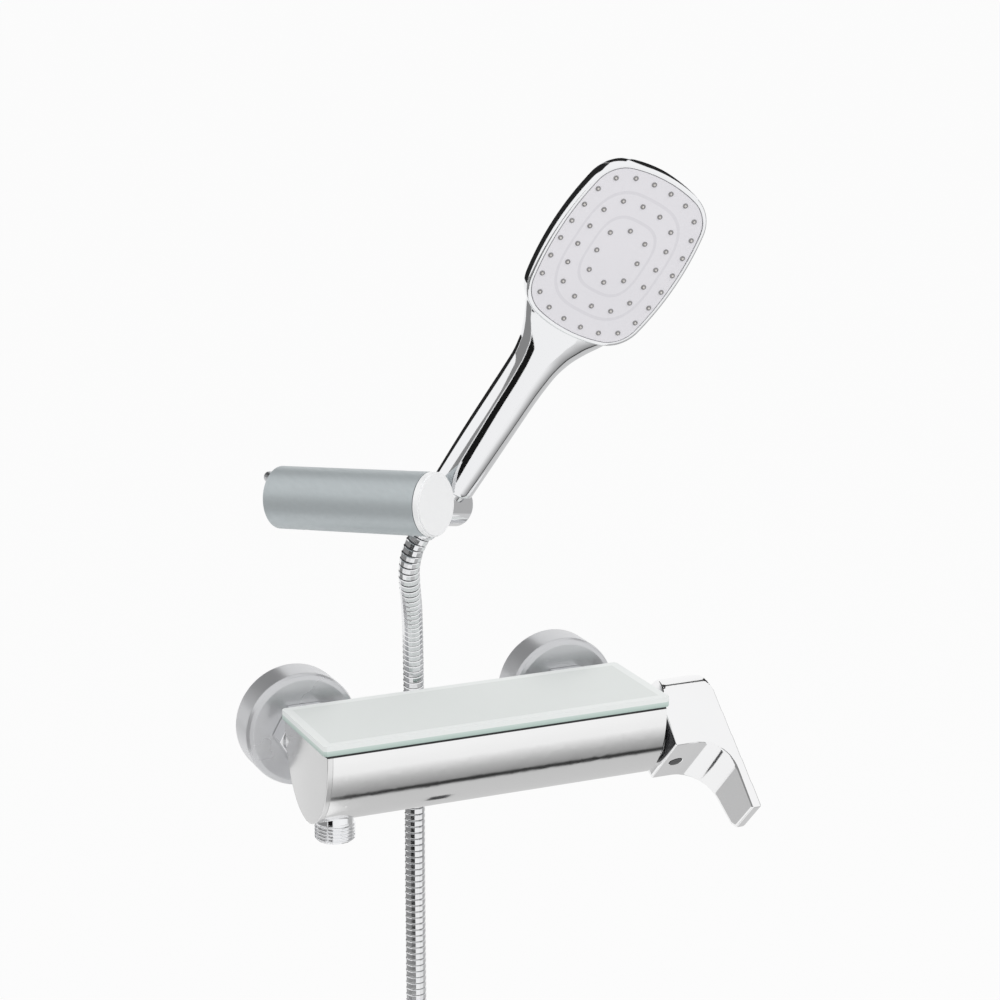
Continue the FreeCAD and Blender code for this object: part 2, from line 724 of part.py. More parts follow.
capPlate = cylinder("cap_plate", "sleeve_radius - cap_round", "cap_front - sleeve_front - cap_groove",
                    ("0", "-sleeve_front - cap_groove", "0"), "-y")
capRim = cylinder("cap_rim", "sleeve_radius", "cap_front - sleeve_front - cap_groove - cap_round",
                  ("0", "-sleeve_front - cap_groove", "0"), "-y")
capSpigot = cylinder("cap_spigot", "cap_spigot_radius", "sleeve_front + cap_groove - cap_spigot_back",
                     ("0", "-cap_spigot_back", "0"), "-y")
node("bracket_cap", fuse("cap_whole", capPlate, capRim, capSpigot), bracketFrame)
node("axle_bush", cut(
    "axle_bush_cut", cylinder("axle_bush_block", "bush_outer", "bush_outer_end - bush_inner_end",
                              ("bush_inner_end", "-axle_out", "0"), "x"),
    cylinder("axle_bush_space", "bush_inner", "bush_outer_end",
             ("bush_inner_end - overrun", "-axle_out", "0"), "x")), bracketFrame)

# Holder: origin where the swivel axis meets the handset axis, local x along the swivel, z up the handset
holderSpot = bracketFrame.multVec(Vector(size("holder_side"), -size("axle_out"), 0))
holderTurn = bracketTurn * Rotation(Vector(1, 0, 0), size("holder_lean_angle"))
holderFrame = FreeCAD.Placement(holderSpot, holderTurn)
drum = fuse(
    "drum_block",
    cylinder("drum_long", "holder_radius - holder_round", "holder_near + holder_far",
             ("-holder_near", "0", "0"), "x"),
    cylinder("drum_wide", "holder_radius", "holder_near + holder_far - holder_round",
             ("-holder_near", "0", "0"), "x"),
    cone("drum_end", "holder_radius", "holder_radius - holder_round", "holder_round",
         ("holder_far - holder_round", "0", "0"), "x"),
    cylinder("axle_bar", "axle_radius", "axle_length + holder_near / 2",
             ("-holder_near - axle_length", "0", "0"), "x"))
node("handset_holder", cut(
    "holder_cut", drum,
    cone("holder_bore", "cone_bore_low", "cone_bore_top", "cone_half * 2", ("0", "0", "-cone_half")),
    box("holder_slot", ("hose_slot", "holder_radius + overrun", "holder_radius * 2 + overrun * 2"),
        ("-hose_slot / 2", "0", "-holder_radius - overrun")),
    cylinder("axle_screw_space", "axle_screw_hole", "axle_screw_length + overrun",
             ("-holder_near - axle_length - overrun", "0", "0"), "x")), holderFrame)
axleEnd = "-holder_near - axle_length"
node("axle_washer", cut(
    "axle_washer_cut", cylinder("axle_washer_block", "axle_washer_radius", "axle_washer_thick",
                                (axleEnd + " - axle_washer_thick", "0", "0"), "x"),
    cylinder("axle_washer_hole", "axle_screw_hole", "axle_washer_thick + overrun * 2",
             (axleEnd + " - axle_washer_thick - overrun", "0", "0"), "x")), holderFrame)
node("axle_screw", fuse(
    "axle_screw_whole",
    cylinder("axle_screw_cap", "axle_screw_head", "axle_screw_head_length",
             (axleEnd + " - axle_washer_thick - axle_screw_head_length", "0", "0"), "x"),
    cylinder("axle_screw_bar", "axle_screw_radius", "axle_washer_thick + axle_screw_length",
             (axleEnd + " - axle_washer_thick", "0", "0"), "x")), holderFrame)

# Handset: local z along the handle, spray face to local -y
handsetTurn = holderFrame.Rotation * Rotation(Vector(0, 0, 1), size("handset_turn_angle"))
handsetFrame = FreeCAD.Placement(holderSpot, handsetTurn)


def ellipseWire(wide, deep, level, back=0):
    spot = Vector(0, back, level)
    shape = Part.Ellipse(spot, max(wide, deep), min(wide, deep)).toShape()
    if deep > wide:
        shape.rotate(spot, Vector(0, 0, 1), 90)
    return Part.Wire([shape])


bottom = size("handle_bottom_radius")
handleWires = [ellipseWire(bottom, bottom, size("handle_start"))]
for stage in ("low", "mid", "high", "flare", "end"):
    names = ["handle_%s_%s" % (stage, measure) for measure in ("wide", "deep", "z", "back")]
    handleWires.append(ellipseWire(*[size(name) for name in names]))
handleSolid = Part.makeLoft(handleWires, True, False)


# Rounded outline of eight tangent arcs: bowed sides, bowed ends and four corners
def bowedWire(wide, high, sideRadius, endRadius, corner, level, depth):
    sideCentre = Vector(wide - sideRadius, 0, 0)
    endCentre = Vector(0, 0, high - endRadius)
    span = endCentre - sideCentre
    near = sideRadius - corner
    far = endRadius - corner
    along = (near ** 2 - far ** 2 + span.dot(span)) / (2 * span.Length)
    off = math.sqrt(near ** 2 - along ** 2)
    square = Vector(-span.z, 0, span.x).normalize()
    if square.x + square.z < 0:
        square = -square
    pivot = sideCentre + span.normalize() * along + square * off
    sideEnd = sideCentre + (pivot - sideCentre).normalize() * sideRadius
    endEnd = endCentre + (pivot - endCentre).normalize() * endRadius
    cornerMid = pivot + (sideEnd - pivot + endEnd - pivot).normalize() * corner
    sideMid = Vector(wide, 0, 0)
    endMid = Vector(0, 0, high)

    def at(spot, across, up):
        return Vector(spot.x * across, depth, level + spot.z * up)

    arcs = [
        (at(sideEnd, 1, -1), at(sideMid, 1, 1), at(sideEnd, 1, 1)),
        (at(sideEnd, 1, 1), at(cornerMid, 1, 1), at(endEnd, 1, 1)),
        (at(endEnd, 1, 1), at(endMid, 1, 1), at(endEnd, -1, 1)),
        (at(endEnd, -1, 1), at(cornerMid, -1, 1), at(sideEnd, -1, 1)),
        (at(sideEnd, -1, 1), at(sideMid, -1, 1), at(sideEnd, -1, -1)),
        (at(sideEnd, -1, -1), at(cornerMid, -1, -1), at(endEnd, -1, -1)),
        (at(endEnd, -1, -1), at(endMid, 1, -1), at(endEnd, 1, -1)),
        (at(endEnd, 1, -1), at(cornerMid, 1, -1), at(sideEnd, 1, -1)),
    ]
    return Part.Wire([Part.Arc(*arc).toShape() for arc in arcs])


def headWire(inset, depth, share=1):
    reaches = ("head_width / 2", "(head_top - head_low) / 2", "head_side_radius", "head_end_radius",
               "head_corner")
    numbers = [(size(reach) - inset) * share for reach in reaches]
    return bowedWire(*numbers, size("(head_top + head_low) / 2"), depth)


front = -size("head_front")
headSolid = Part.Face(headWire(0, front)).extrude(Vector(0, size("head_front + head_back"), 0))
backEdges = [edge for edge in headSolid.Edges
             if abs(edge.BoundBox.YMin - size("head_back")) < size("face_gap")]
headSolid = headSolid.makeFillet(size("head_back_round"), backEdges)
frontEdges = [edge for edge in headSolid.Edges if abs(edge.BoundBox.YMax - front) < size("face_gap")]
headSolid = headSolid.makeFillet(size("head_front_round"), frontEdges)
pocketFace = Part.Face(headWire(size("face_inset"), front - size("overrun")))
pocket = pocketFace.extrude(Vector(0, size("face_pocket + overrun"), 0))
shellBlock = coded("shell_block", handleSolid.fuse(headSolid).cut(pocket))
spigot = fuse(
    "spigot_block",
    cone("spigot_cone", "spigot_low", "spigot_top", "spigot_half * 2", ("0", "0", "-spigot_half")),
    cylinder("spigot_neck", "spigot_top", "handle_start - spigot_half + overrun", ("0", "0", "spigot_half")),
    cylinder("spigot_stub", "stub_radius", "stub_end - spigot_half + overrun", ("0", "0", "-stub_end")))
node("handset_shell", cut(
    "shell_cut", fuse("shell_whole", shellBlock, spigot),
    cylinder("shell_bore", "stub_bore", "stub_end + handle_mid_z", ("0", "0", "-stub_end - overrun"))),
    handsetFrame)
faceDepth = front + size("face_pocket")
facePlate = Part.Face(headWire(size("face_inset + face_gap"), faceDepth))
node("spray_face", coded("face_plate", facePlate.extrude(Vector(0, -size("face_thick"), 0))), handsetFrame)
faceFront = faceDepth - size("face_thick")
nozzles = []
for share, count in zip(nozzleShares, nozzleCounts):
    ring = headWire(0, faceFront, share)
    for spot in ring.discretize(Number=count + 1)[:-1]:
        nozzles.append(Part.makeCone(size("nozzle_base"), size("nozzle_tip"), size("nozzle_height"), spot,
                                     Vector(0, -1, 0)))
node("spray_nozzles", coded("nozzle_set", Part.makeCompound(nozzles)), handsetFrame)

# Nut, washer and ferrule at the top of the hose
node("hose_upper_nut", cut(
    "upper_nut_cut", cylinder("upper_nut_block", "upper_nut_radius", "upper_nut_low - upper_nut_top",
                              ("0", "0", "-upper_nut_low")),
    cylinder("upper_nut_space", "upper_nut_bore", "upper_nut_low", ("0", "0", "-upper_nut_low - overrun"))),
    holderFrame)
node("nut_washer", cut(
    "upper_washer_cut", cylinder("upper_washer_block", "upper_ferrule_radius",
                                 "upper_washer_low - upper_washer_top", ("0", "0", "-upper_washer_low")),
    cylinder("upper_washer_hole", "stub_bore", "upper_washer_low",
             ("0", "0", "-upper_washer_low - overrun"))),
    holderFrame)
node("hose_upper_ferrule", cut(
    "upper_ferrule_cut", fuse(
        "upper_ferrule_block",
        cylinder("upper_ferrule_bar", "upper_ferrule_radius", "hose_start - upper_ferrule_top",
                 ("0", "0", "-hose_start")),
        cylinder("upper_ferrule_flange", "upper_flange_radius", "hose_start - upper_flange_top",
                 ("0", "0", "-hose_start"))),
    cylinder("upper_ferrule_hole", "stub_bore", "hose_start", ("0", "0", "-hose_start - overrun"))),
    holderFrame)


# Hose: straight runs joined by tangent arcs
def roundedLegs(points):
    spots = [Vector(*point) for point in points]
    legs = []
    last = spots[0]
    for before, spot, after in zip(spots, spots[1:], spots[2:]):
        into = (spot - before).normalize()
        out = (after - spot).normalize()
        turn = into.getAngle(out)
        reach = reachShare * min((spot - before).Length, (after - spot).Length)
        bendRadius = reach / math.tan(turn / 2)
        inner = (out - into * into.dot(out)).normalize()
        legs.append((last, into, None, (spot - into * reach - last).Length, 0))
        legs.append((spot - into * reach, into, inner, bendRadius * turn, bendRadius))
        last = spot + out * reach
    legs.append((last, (spots[-1] - last).normalize(), None, (spots[-1] - last).Length, 0))
    return legs


def station(legs, along):
    for origin, into, inner, length, bendRadius in legs:
        if along <= length or (origin, into, inner, length, bendRadius) == legs[-1]:
            break
        along -= length
    if inner is None:
        return origin + into * along, into
    swing = along / bendRadius
    spot = origin + into * (bendRadius * math.sin(swing)) + inner * (bendRadius * (1 - math.cos(swing)))
    return spot, into * math.cos(swing) + inner * math.sin(swing)


def ringWire(legs, along, ringRadius):
    spot, heading = station(legs, along)
    across = Vector(1, 0, 0) - heading * heading.x
    across.normalize()
    ring = Part.makeCircle(ringRadius)
    ring.Placement = FreeCAD.Placement(spot, Rotation(across, heading.cross(across), heading, "ZXY"))
    return Part.Wire([ring])


def ribbedTube(legs, first, last, count):
    pitch = (last - first) / count
    radii = [size("hose_valley"), size("hose_radius"), size("hose_radius"), size("hose_valley")]
    rings = []
    bores = []
    for rib in range(count):
        bores.append(ringWire(legs, first + rib * pitch, size("hose_bore")))
        for share, ringRadius in zip(ribShares, radii):
            rings.append(ringWire(legs, first + (rib + share) * pitch, ringRadius))
    rings.append(ringWire(legs, last, radii[0]))
    bores.append(ringWire(legs, last, size("hose_bore")))
    return Part.makeLoft(rings, True, True).cut(Part.makeLoft(bores, True, True))


hoseTop = holderFrame.multVec(Vector(0, 0, -size("hose_start + hose_start_gap")))
hoseLead = holderFrame.multVec(Vector(0, 0, -size("hose_start + hose_start_gap + hose_lead")))
legs = roundedLegs([tuple(hoseTop), tuple(hoseLead)] + hoseRoute)
hoseLength = sum(leg[3] for leg in legs)
splitAt = sum(leg[3] for leg in legs[:splitCount * 2 - 1]) + legs[splitCount * 2 - 1][3] / 2
print("hose top", hoseTop, "lead", hoseLead, "split", station(legs, splitAt)[0])
print("hose bend radii", [round(leg[4], 1) for leg in legs if leg[2] is not None])
hoseUpper = ribbedTube(legs, 0, splitAt, ribCounts[0])
hoseLower = ribbedTube(legs, splitAt, hoseLength, ribCounts[1])
node("hose_upper", coded("hose_upper_tube", hoseUpper))
node("hose_lower", coded("hose_lower_tube", hoseLower))
wallSection = math.pi * (size("hose_radius") ** 2 - size("hose_bore") ** 2)
for name, tube, run in (("upper", hoseUpper, splitAt), ("lower", hoseLower, hoseLength - splitAt)):
    print("hose", name, "length", round(run, 1), "volume share", round(tube.Volume / (wallSection * run), 3))


# Coil: turns hung up out of the way, one unbroken tube on biarcs of a quarter turn
def arcBetween(first, corner, last):
    middle = (first + last) * 0.5
    half = (last - first).Length / 2
    swing = (corner - first).getAngle(last - first)
    bulge = (corner - middle).normalize() * (half * math.tan(swing / 2))
    return Part.Arc(first, middle + bulge, last).toShape()


def biarc(first, heading, last, ending):
    span = last - first
    both = heading + ending
    bend = 2 * (1 - heading.dot(ending))
    reach = (math.sqrt(span.dot(both) ** 2 + bend * span.dot(span)) - span.dot(both)) / bend
    near = first + heading * reach
    far = last - ending * reach
    meet = (near + far) * 0.5
    return [arcBetween(first, near, meet), arcBetween(meet, far, last)]


coilRadius = size("coil_radius")
pitch = size("coil_pitch")
coilTop = Vector(*hoseRoute[-1])
coilCentre = Vector(coilTop.x + coilRadius, coilTop.y, size("coil_level"))
spots = []
headings = []
for quarter in range(coilTurns * 4 + 1):
    angle = math.pi + quarter * math.pi / 2
    spots.append(coilCentre + Vector(math.cos(angle) * coilRadius, -pitch * quarter / 4,
                                     math.sin(angle) * coilRadius))
    slope = 0 if quarter in (0, coilTurns * 4) else -pitch / (2 * math.pi)
    headings.append(Vector(-math.sin(angle) * coilRadius, slope, math.cos(angle) * coilRadius).normalize())
tailEnd = spots[-1] + Vector(0, 0, -size("coil_tail"))
coilEdges = [Part.LineSegment(coilTop, spots[0]).toShape()]
for quarter in range(coilTurns * 4):
    coilEdges += biarc(spots[quarter], headings[quarter], spots[quarter + 1], headings[quarter + 1])
coilEdges.append(Part.LineSegment(spots[-1], tailEnd).toShape())
coilPath = Part.Wire(coilEdges)
coilStart = Part.Wire([Part.makeCircle(size("hose_radius"), coilTop, Vector(0, 0, -1))])
coilTube = coilPath.makePipeShell([coilStart], True, False)
node("hose_coil", coded("hose_coil_tube", coilTube))
coilPoints = coilPath.discretize(Number=700)
stride = coilPath.Length / 699
apart = int(coilRadius / stride)
least = min(coilPoints[first].distanceToPoint(coilPoints[second])
            for first in range(700) for second in range(first + apart, 700))
print("coil radii", sorted({round(edge.Curve.Radius, 1) for edge in coilEdges[1:-1]}))
print("coil length", round(coilPath.Length, 1), "least gap", round(least - 2 * size("hose_radius"), 2),
      "volume share", round(coilTube.Volume / (math.pi * size("hose_radius") ** 2 * coilPath.Length), 3))
print("hose whole length", round(hoseLength + coilPath.Length, 1))

# Tie round the turns at the top of the coil
tieLevel = coilCentre.z + coilRadius
tieBack = coilCentre.y - pitch * 0.75
tieFront = tieBack - pitch * (coilTurns - 1)


def tieLoop(reach):
    legs = [
        [(0, tieBack, tieLevel + reach), (0, tieFront, tieLevel + reach)],
        [(0, tieFront, tieLevel + reach), (0, tieFront - reach, tieLevel), (0, tieFront, tieLevel - reach)],
        [(0, tieFront, tieLevel - reach), (0, tieBack, tieLevel - reach)],
        [(0, tieBack, tieLevel - reach), (0, tieBack + reach, tieLevel), (0, tieBack, tieLevel + reach)],
    ]
    face = chain(legs)
    face.translate(Vector(coilCentre.x - size("tie_width") / 2, 0, 0))
    return face.extrude(Vector(size("tie_width"), 0, 0))


tieInner = size("hose_radius + tie_clear")
node("coil_tie", coded("tie_band", tieLoop(tieInner + size("tie_thick")).cut(tieLoop(tieInner))))

# Lower end of the hose, pointing down
endFrame = FreeCAD.Placement(tailEnd, Rotation(Vector(1, 0, 0), 180))
node("hose_end_ferrule", cut(
    "end_ferrule_cut", fuse(
        "end_ferrule_block", cylinder("end_ferrule_bar", "end_ferrule_radius", "end_flange_low"),
        cylinder("end_ferrule_flange", "end_flange_radius", "end_flange_low - end_ferrule_length",
                 ("0", "0", "end_ferrule_length"))),
    cylinder("end_ferrule_hole", "hose_bore", "end_flange_low + overrun * 2",
             ("0", "0", "-overrun"))), endFrame)
node("hose_end_nut", cut(
    "end_nut_cut", hexagon("end_nut_block", "end_nut_flats", "end_nut_low - end_nut_top",
                           ("0", "0", "end_nut_top"), "z"),
    cylinder("end_nut_mouth", "end_nut_lip", "end_nut_low", ("0", "0", "end_nut_top - overrun")),
    cylinder("end_nut_space", "end_nut_relief", "end_nut_thread_top - end_nut_lip_low",
             ("0", "0", "end_nut_lip_low")),
    cylinder("end_nut_thread", "end_nut_bore", "end_nut_low", ("0", "0", "end_nut_lip_low"))), endFrame)
node("end_washer", cut(
    "end_washer_cut", cylinder("end_washer_block", "end_washer_radius", "end_washer_low - end_washer_top",
                               ("0", "0", "end_washer_top")),
    cylinder("end_washer_hole", "end_washer_bore", "end_washer_low", ("0", "0", "end_washer_top - overrun"))),
    endFrame)

doc.recompute()
for item in doc.Objects:
    if "Invalid" in item.State or "Error" in item.State:
        raise ValueError("object in error: " + item.Name)
os.makedirs("parts", exist_ok=True)
for name, item in nodes.items():
    shape = item.Shape
    if shape.isNull() or not shape.isValid() or shape.Volume <= 0:
        raise ValueError("bad shape: " + name)
    shape.exportStep("parts/" + name + ".step")
print("nodes", len(nodes))
print("holder centre", holderSpot, "swivel", bracketTurn.multVec(Vector(1, 0, 0)),
      "handset axis", holderFrame.Rotation.multVec(Vector(0, 0, 1)))
print("hose end", tailEnd)
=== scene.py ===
import math
import bmesh
import bpy
from mathutils import Matrix, Vector


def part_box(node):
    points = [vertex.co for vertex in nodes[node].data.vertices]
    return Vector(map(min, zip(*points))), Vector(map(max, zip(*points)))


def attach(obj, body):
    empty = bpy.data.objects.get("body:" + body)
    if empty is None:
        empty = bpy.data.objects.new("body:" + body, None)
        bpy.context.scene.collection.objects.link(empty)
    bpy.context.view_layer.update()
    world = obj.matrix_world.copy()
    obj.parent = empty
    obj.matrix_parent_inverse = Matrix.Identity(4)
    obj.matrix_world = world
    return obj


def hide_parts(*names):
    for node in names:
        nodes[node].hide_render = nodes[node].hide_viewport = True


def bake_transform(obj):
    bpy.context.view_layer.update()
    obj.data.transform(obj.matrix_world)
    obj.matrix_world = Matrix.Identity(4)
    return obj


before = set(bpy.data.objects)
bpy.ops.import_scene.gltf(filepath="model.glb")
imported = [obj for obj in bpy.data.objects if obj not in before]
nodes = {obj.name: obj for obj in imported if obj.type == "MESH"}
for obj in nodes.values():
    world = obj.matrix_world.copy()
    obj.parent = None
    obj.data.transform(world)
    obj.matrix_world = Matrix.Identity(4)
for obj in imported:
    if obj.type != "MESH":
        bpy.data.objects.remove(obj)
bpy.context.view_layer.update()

scene = bpy.context.scene
scene.view_settings.view_transform = "Standard"


# wraps a socket, so that an expression on values adds its Math nodes
class Shade:
    def __init__(self, tree, socket):
        self.tree = tree
        self.socket = socket

    def math(self, operation, first, second):
        return addNode(self.tree, "ShaderNodeMath", {"operation": operation}, {0: first, 1: second})[0]

    def __add__(self, other):
        return self.math("ADD", self, other)

    def __radd__(self, other):
        return self.math("ADD", other, self)

    def __sub__(self, other):
        return self.math("SUBTRACT", self, other)

    def __rsub__(self, other):
        return self.math("SUBTRACT", other, self)

    def __mul__(self, other):
        return self.math("MULTIPLY", self, other)

    def __rmul__(self, other):
        return self.math("MULTIPLY", other, self)

    def __truediv__(self, other):
        return self.math("DIVIDE", self, other)

    def __rtruediv__(self, other):
        return self.math("DIVIDE", other, self)

    def __pow__(self, other):
        return self.math("POWER", self, other)

    def __rpow__(self, other):
        return self.math("POWER", other, self)

    def __gt__(self, other):
        return self.math("GREATER_THAN", self, other)

    def __lt__(self, other):
        return self.math("LESS_THAN", self, other)

    def __abs__(self):
        return self.math("ABSOLUTE", self, 0)


# adds any node: its settings first, then the values or links of its sockets
def addNode(tree, kind, settings=None, sockets=None):
    node = tree.nodes.new(kind)
    for name, value in (settings or {}).items():
        if name == "stops":
            ramp = node.color_ramp.elements
            while len(ramp) < len(value):
                ramp.new(0.5)
            for stop, (position, grey) in zip(ramp, value):
                stop.position = position
                stop.color = (grey, grey, grey, 1)
        else:
            setattr(node, name, value)
    for name, value in (sockets or {}).items():
        if isinstance(value, Shade):
            tree.links.new(value.socket, node.inputs[name])
        else:
            node.inputs[name].default_value = value
    return [Shade(tree, socket) for socket in node.outputs]


def mixed(tree, share, first, second):
    sockets = {0: share}
    for slot, colour in ((6, first), (7, second)):  # the Mix node's colour sockets
        sockets[slot] = colour if isinstance(colour, Shade) else (*colour, 1)
    return addNode(tree, "ShaderNodeMix", {"data_type": "RGBA"}, sockets)[2]


def objectPlace(tree):
    return addNode(tree, "ShaderNodeTexCoord")[3]


def backgroundRays(tree):
    rays = addNode(tree, "ShaderNodeLightPath")
    return rays[0] + rays[3] + rays[6]  # camera, glossy and transmission


# camera
view = {"place": (-0.4952, -1.2210, 0.4487), "turn": 23.89, "dip": 14.36, "lens": 92.585, "sensor": 36}
turn = math.radians(view["turn"])
dip = math.radians(view["dip"])
heading = Vector((math.sin(turn) * math.cos(dip), math.cos(turn) * math.cos(dip), -math.sin(dip)))
camera = bpy.data.objects.new("camera", bpy.data.cameras.new("camera"))
camera.data.lens = view["lens"]
camera.data.sensor_width = view["sensor"]
camera.location = view["place"]
camera.rotation_euler = heading.to_track_quat("-Z", "Y").to_euler()
scene.collection.objects.link(camera)
scene.camera = camera
print("camera set")

# frames of the bracket and of the handset, as the solids have them
bracket = {"turn": 34, "dip": -5.5, "roll": 13, "lean": 36.2, "handsetTurn": -38}
bracketTurn = (Matrix.Rotation(math.radians(bracket["turn"]), 3, "Z")
               @ Matrix.Rotation(math.radians(bracket["dip"]), 3, "X")
               @ Matrix.Rotation(math.radians(bracket["roll"]), 3, "Y"))
handsetTurn = (bracketTurn @ Matrix.Rotation(math.radians(bracket["lean"]), 3, "X")
               @ Matrix.Rotation(math.radians(bracket["handsetTurn"]), 3, "Z"))

# metals, plastics and rubbers, with the nodes that wear them
grainLook = {"detail": 3.0, "bumpDistance": 0.0002, "bevelSamples": 6}
finishes = {
    "polishedChrome": {
        "tones": ((0.90, 0.905, 0.915), (0.86, 0.865, 0.88)), "rough": (0.03, 0.06), "metallic": 1.0,
        "scale": 14, "edge": 0.0007,
        "on": ("handset_holder", "hose_upper_nut", "hose_end_nut", "hose_upper_ferrule", "hose_end_ferrule",
               "left_union_nut", "right_union_nut", "left_union", "right_union", "left_inlet_tail",
               "right_inlet_tail")},
    "platedPlastic": {
        "tones": ((0.89, 0.895, 0.905), (0.85, 0.855, 0.87)), "rough": (0.035, 0.07), "metallic": 1.0,
        "scale": 16, "edge": 0.0006},
    "hoseChrome": {
        "tones": ((0.88, 0.885, 0.895), (0.80, 0.805, 0.82)), "rough": (0.10, 0.20), "metallic": 1.0,
        "scale": 120},
    # the core between the ribs is painted near black: painted shade in the grooves between the windings
    "hoseGrooveShade": {
        "tones": ((0.05, 0.05, 0.055), (0.10, 0.10, 0.105)), "rough": (0.4, 0.6), "metallic": 0.6,
        "scale": 200},
    "bodyChrome": {
        "tones": ((0.90, 0.90, 0.90), (0.86, 0.86, 0.86)), "rough": (0.08, 0.11), "metallic": 1.0,
        "scale": 12, "on": ("mixer_body",)},
    "leverChrome": {
        "tones": ((0.92, 0.92, 0.925), (0.88, 0.88, 0.885)), "rough": (0.06, 0.09), "metallic": 1.0,
        "scale": 18},
    "flangeChrome": {
        "tones": ((0.64, 0.645, 0.66), (0.58, 0.585, 0.60)), "rough": (0.24, 0.32), "metallic": 0.6,
        "scale": 20, "edge": 0.0009, "on": ("left_flange", "right_flange")},
    "plateChrome": {
        "tones": ((0.80, 0.80, 0.80), (0.75, 0.75, 0.75)), "rough": (0.14, 0.20), "metallic": 1.0,
        "scale": 25, "edge": 0.0006, "on": ("end_plate",)},
    "satinSleeve": {
        "tones": ((0.51, 0.55, 0.565), (0.455, 0.495, 0.51)), "rough": (0.36, 0.50), "metallic": 0.45,
        "scale": 60, "bump": 0.06, "stretch": (9, 0.25, 9), "turned": bracketTurn.transposed().to_euler(),
        "on": ("bracket_sleeve",)},
    "capSilver": {
        "tones": ((0.94, 0.945, 0.95), (0.90, 0.905, 0.91)), "rough": (0.30, 0.42), "metallic": 0.1,
        "scale": 90, "bump": 0.03, "on": ("bracket_cap",)},
    "blackRubber": {
        "tones": ((0.010, 0.010, 0.011), (0.02, 0.02, 0.021)), "rough": (0.5, 0.7), "scale": 300,
        "bump": 0.2,
        "on": ("shelf_gasket", "left_filter_washer", "right_filter_washer", "cartridge_seals", "nut_washer",
               "end_washer")},
    "darkPlastic": {
        "tones": ((0.022, 0.022, 0.025), (0.04, 0.04, 0.044)), "rough": (0.3, 0.45), "scale": 220,
        "bump": 0.1, "on": ("cover_ring", "screw_cover", "coil_tie")},
    "machinedBrass": {
        "tones": ((0.66, 0.51, 0.26), (0.56, 0.43, 0.21)), "rough": (0.22, 0.36), "metallic": 1.0,
        "scale": 80, "bump": 0.15, "stretch": (1, 14, 1), "on": ("retaining_nut",)},
    "zincSteel": {
        "tones": ((0.60, 0.61, 0.63), (0.50, 0.51, 0.53)), "rough": (0.28, 0.42), "metallic": 1.0,
        "scale": 150, "bump": 0.1,
        "on": ("spindle", "lever_pin", "handle_screw", "wall_stud", "ball_lock_screw", "axle_screw",
               "axle_washer")},
    "cartridgePlastic": {
        "tones": ((0.74, 0.74, 0.72), (0.68, 0.68, 0.66)), "rough": (0.4, 0.52), "scale": 180, "bump": 0.1,
        "on": ("cartridge_housing", "disc_carrier", "spindle_bush", "ball_cup", "ball_lock_ring",
               "axle_bush")},
    "groundCeramic": {
        "tones": ((0.84, 0.82, 0.76), (0.78, 0.76, 0.70)), "rough": (0.15, 0.28), "scale": 240, "bump": 0.05,
        "on": ("fixed_disc", "moving_disc")},
}


# a grain mixes the two tones and the two roughnesses, and gives the bump; tones may be a function instead
def finish(name, look):
    material = bpy.data.materials.new(name)
    material.use_nodes = True
    tree = material.node_tree
    shader = tree.nodes["Principled BSDF"]
    shader.inputs["Metallic"].default_value = look.get("metallic", 0.0)
    place = addNode(tree, "ShaderNodeMapping", None,
                    {"Vector": objectPlace(tree), "Rotation": look.get("turned", (0, 0, 0)),
                     "Scale": look.get("stretch", (1, 1, 1))})[0]
    grain = addNode(tree, "ShaderNodeTexNoise", None,
                    {"Vector": place, "Scale": look["scale"], "Detail": grainLook["detail"]})[0]
    tones = look["tones"]
    colour = tones(tree) if callable(tones) else mixed(tree, grain, *tones)
    tree.links.new(colour.socket, shader.inputs["Base Color"])
    glossy, dull = look["rough"]
    tree.links.new((glossy + grain * (dull - glossy)).socket, shader.inputs["Roughness"])
    normal = None
    if "edge" in look:  # softened edges catch the light
        normal = addNode(tree, "ShaderNodeBevel", {"samples": grainLook["bevelSamples"]},
                         {"Radius": look["edge"]})[0]
    elif "bump" in look:
        normal = addNode(tree, "ShaderNodeBump", None,
                         {"Strength": look["bump"], "Distance": grainLook["bumpDistance"],
                          "Height": grain})[0]
    if normal:
        tree.links.new(normal.socket, shader.inputs["Normal"])
    for wearer in look.get("on", ()):
        nodes[wearer].data.materials.clear()
        nodes[wearer].data.materials.append(material)
    return material


paints = {name: finish(name, look) for name, look in finishes.items()}
print("finishes set")

# hose: a spline along the route, then ribs along the points it gives
hose = {
    "route": [
        (-0.02313, -0.05763, 0.11049), (-0.0253, -0.0560, 0.1063), (-0.0275, -0.0529, 0.0971),
        (-0.0272, -0.0498, 0.0876), (-0.0252, -0.0463, 0.0782), (-0.0216, -0.0393, 0.0666),
        (-0.0156, -0.0255, 0.0433), (-0.0118, -0.0166, 0.0047), (-0.0117, -0.0162, -0.0162),
        (-0.0116, -0.0162, -0.046), (-0.0118, -0.0162, -0.092), (-0.0117, -0.0162, -0.142),
        (-0.0118, -0.0162, -0.192),
    ],
    "coilRadius": 0.055, "coilPitch": 0.012, "coilLevel": -0.252, "coilTurns": 3, "pointsPerTurn": 16,
    "tail": 0.075, "tailMiddleShare": 0.55, "order": 3, "resolution": 16, "splitHeight": 0.0615,
    "steadyHeight": 0.024, "length": 1.43, "radius": 0.0055, "core": 0.0051, "coreSides": 20, "ribSides": 16,
    "ribPitch": 0.0035, "ribWidth": 0.0031, "ribDepth": 0.0008, "ribRoundShare": 0.45,
}
points = [Vector(point) for point in hose["route"]]
downX, downY = hose["route"][-1][:2]
step = 2 * math.pi / hose["pointsPerTurn"]
outer = hose["coilRadius"] / math.cos(step / 2)
coilX = points[-1].x + hose["coilRadius"]
lead = hose["coilRadius"] * math.tan(step / 2)
points.append(Vector((points[-1].x, points[-1].y, hose["coilLevel"] + lead)))
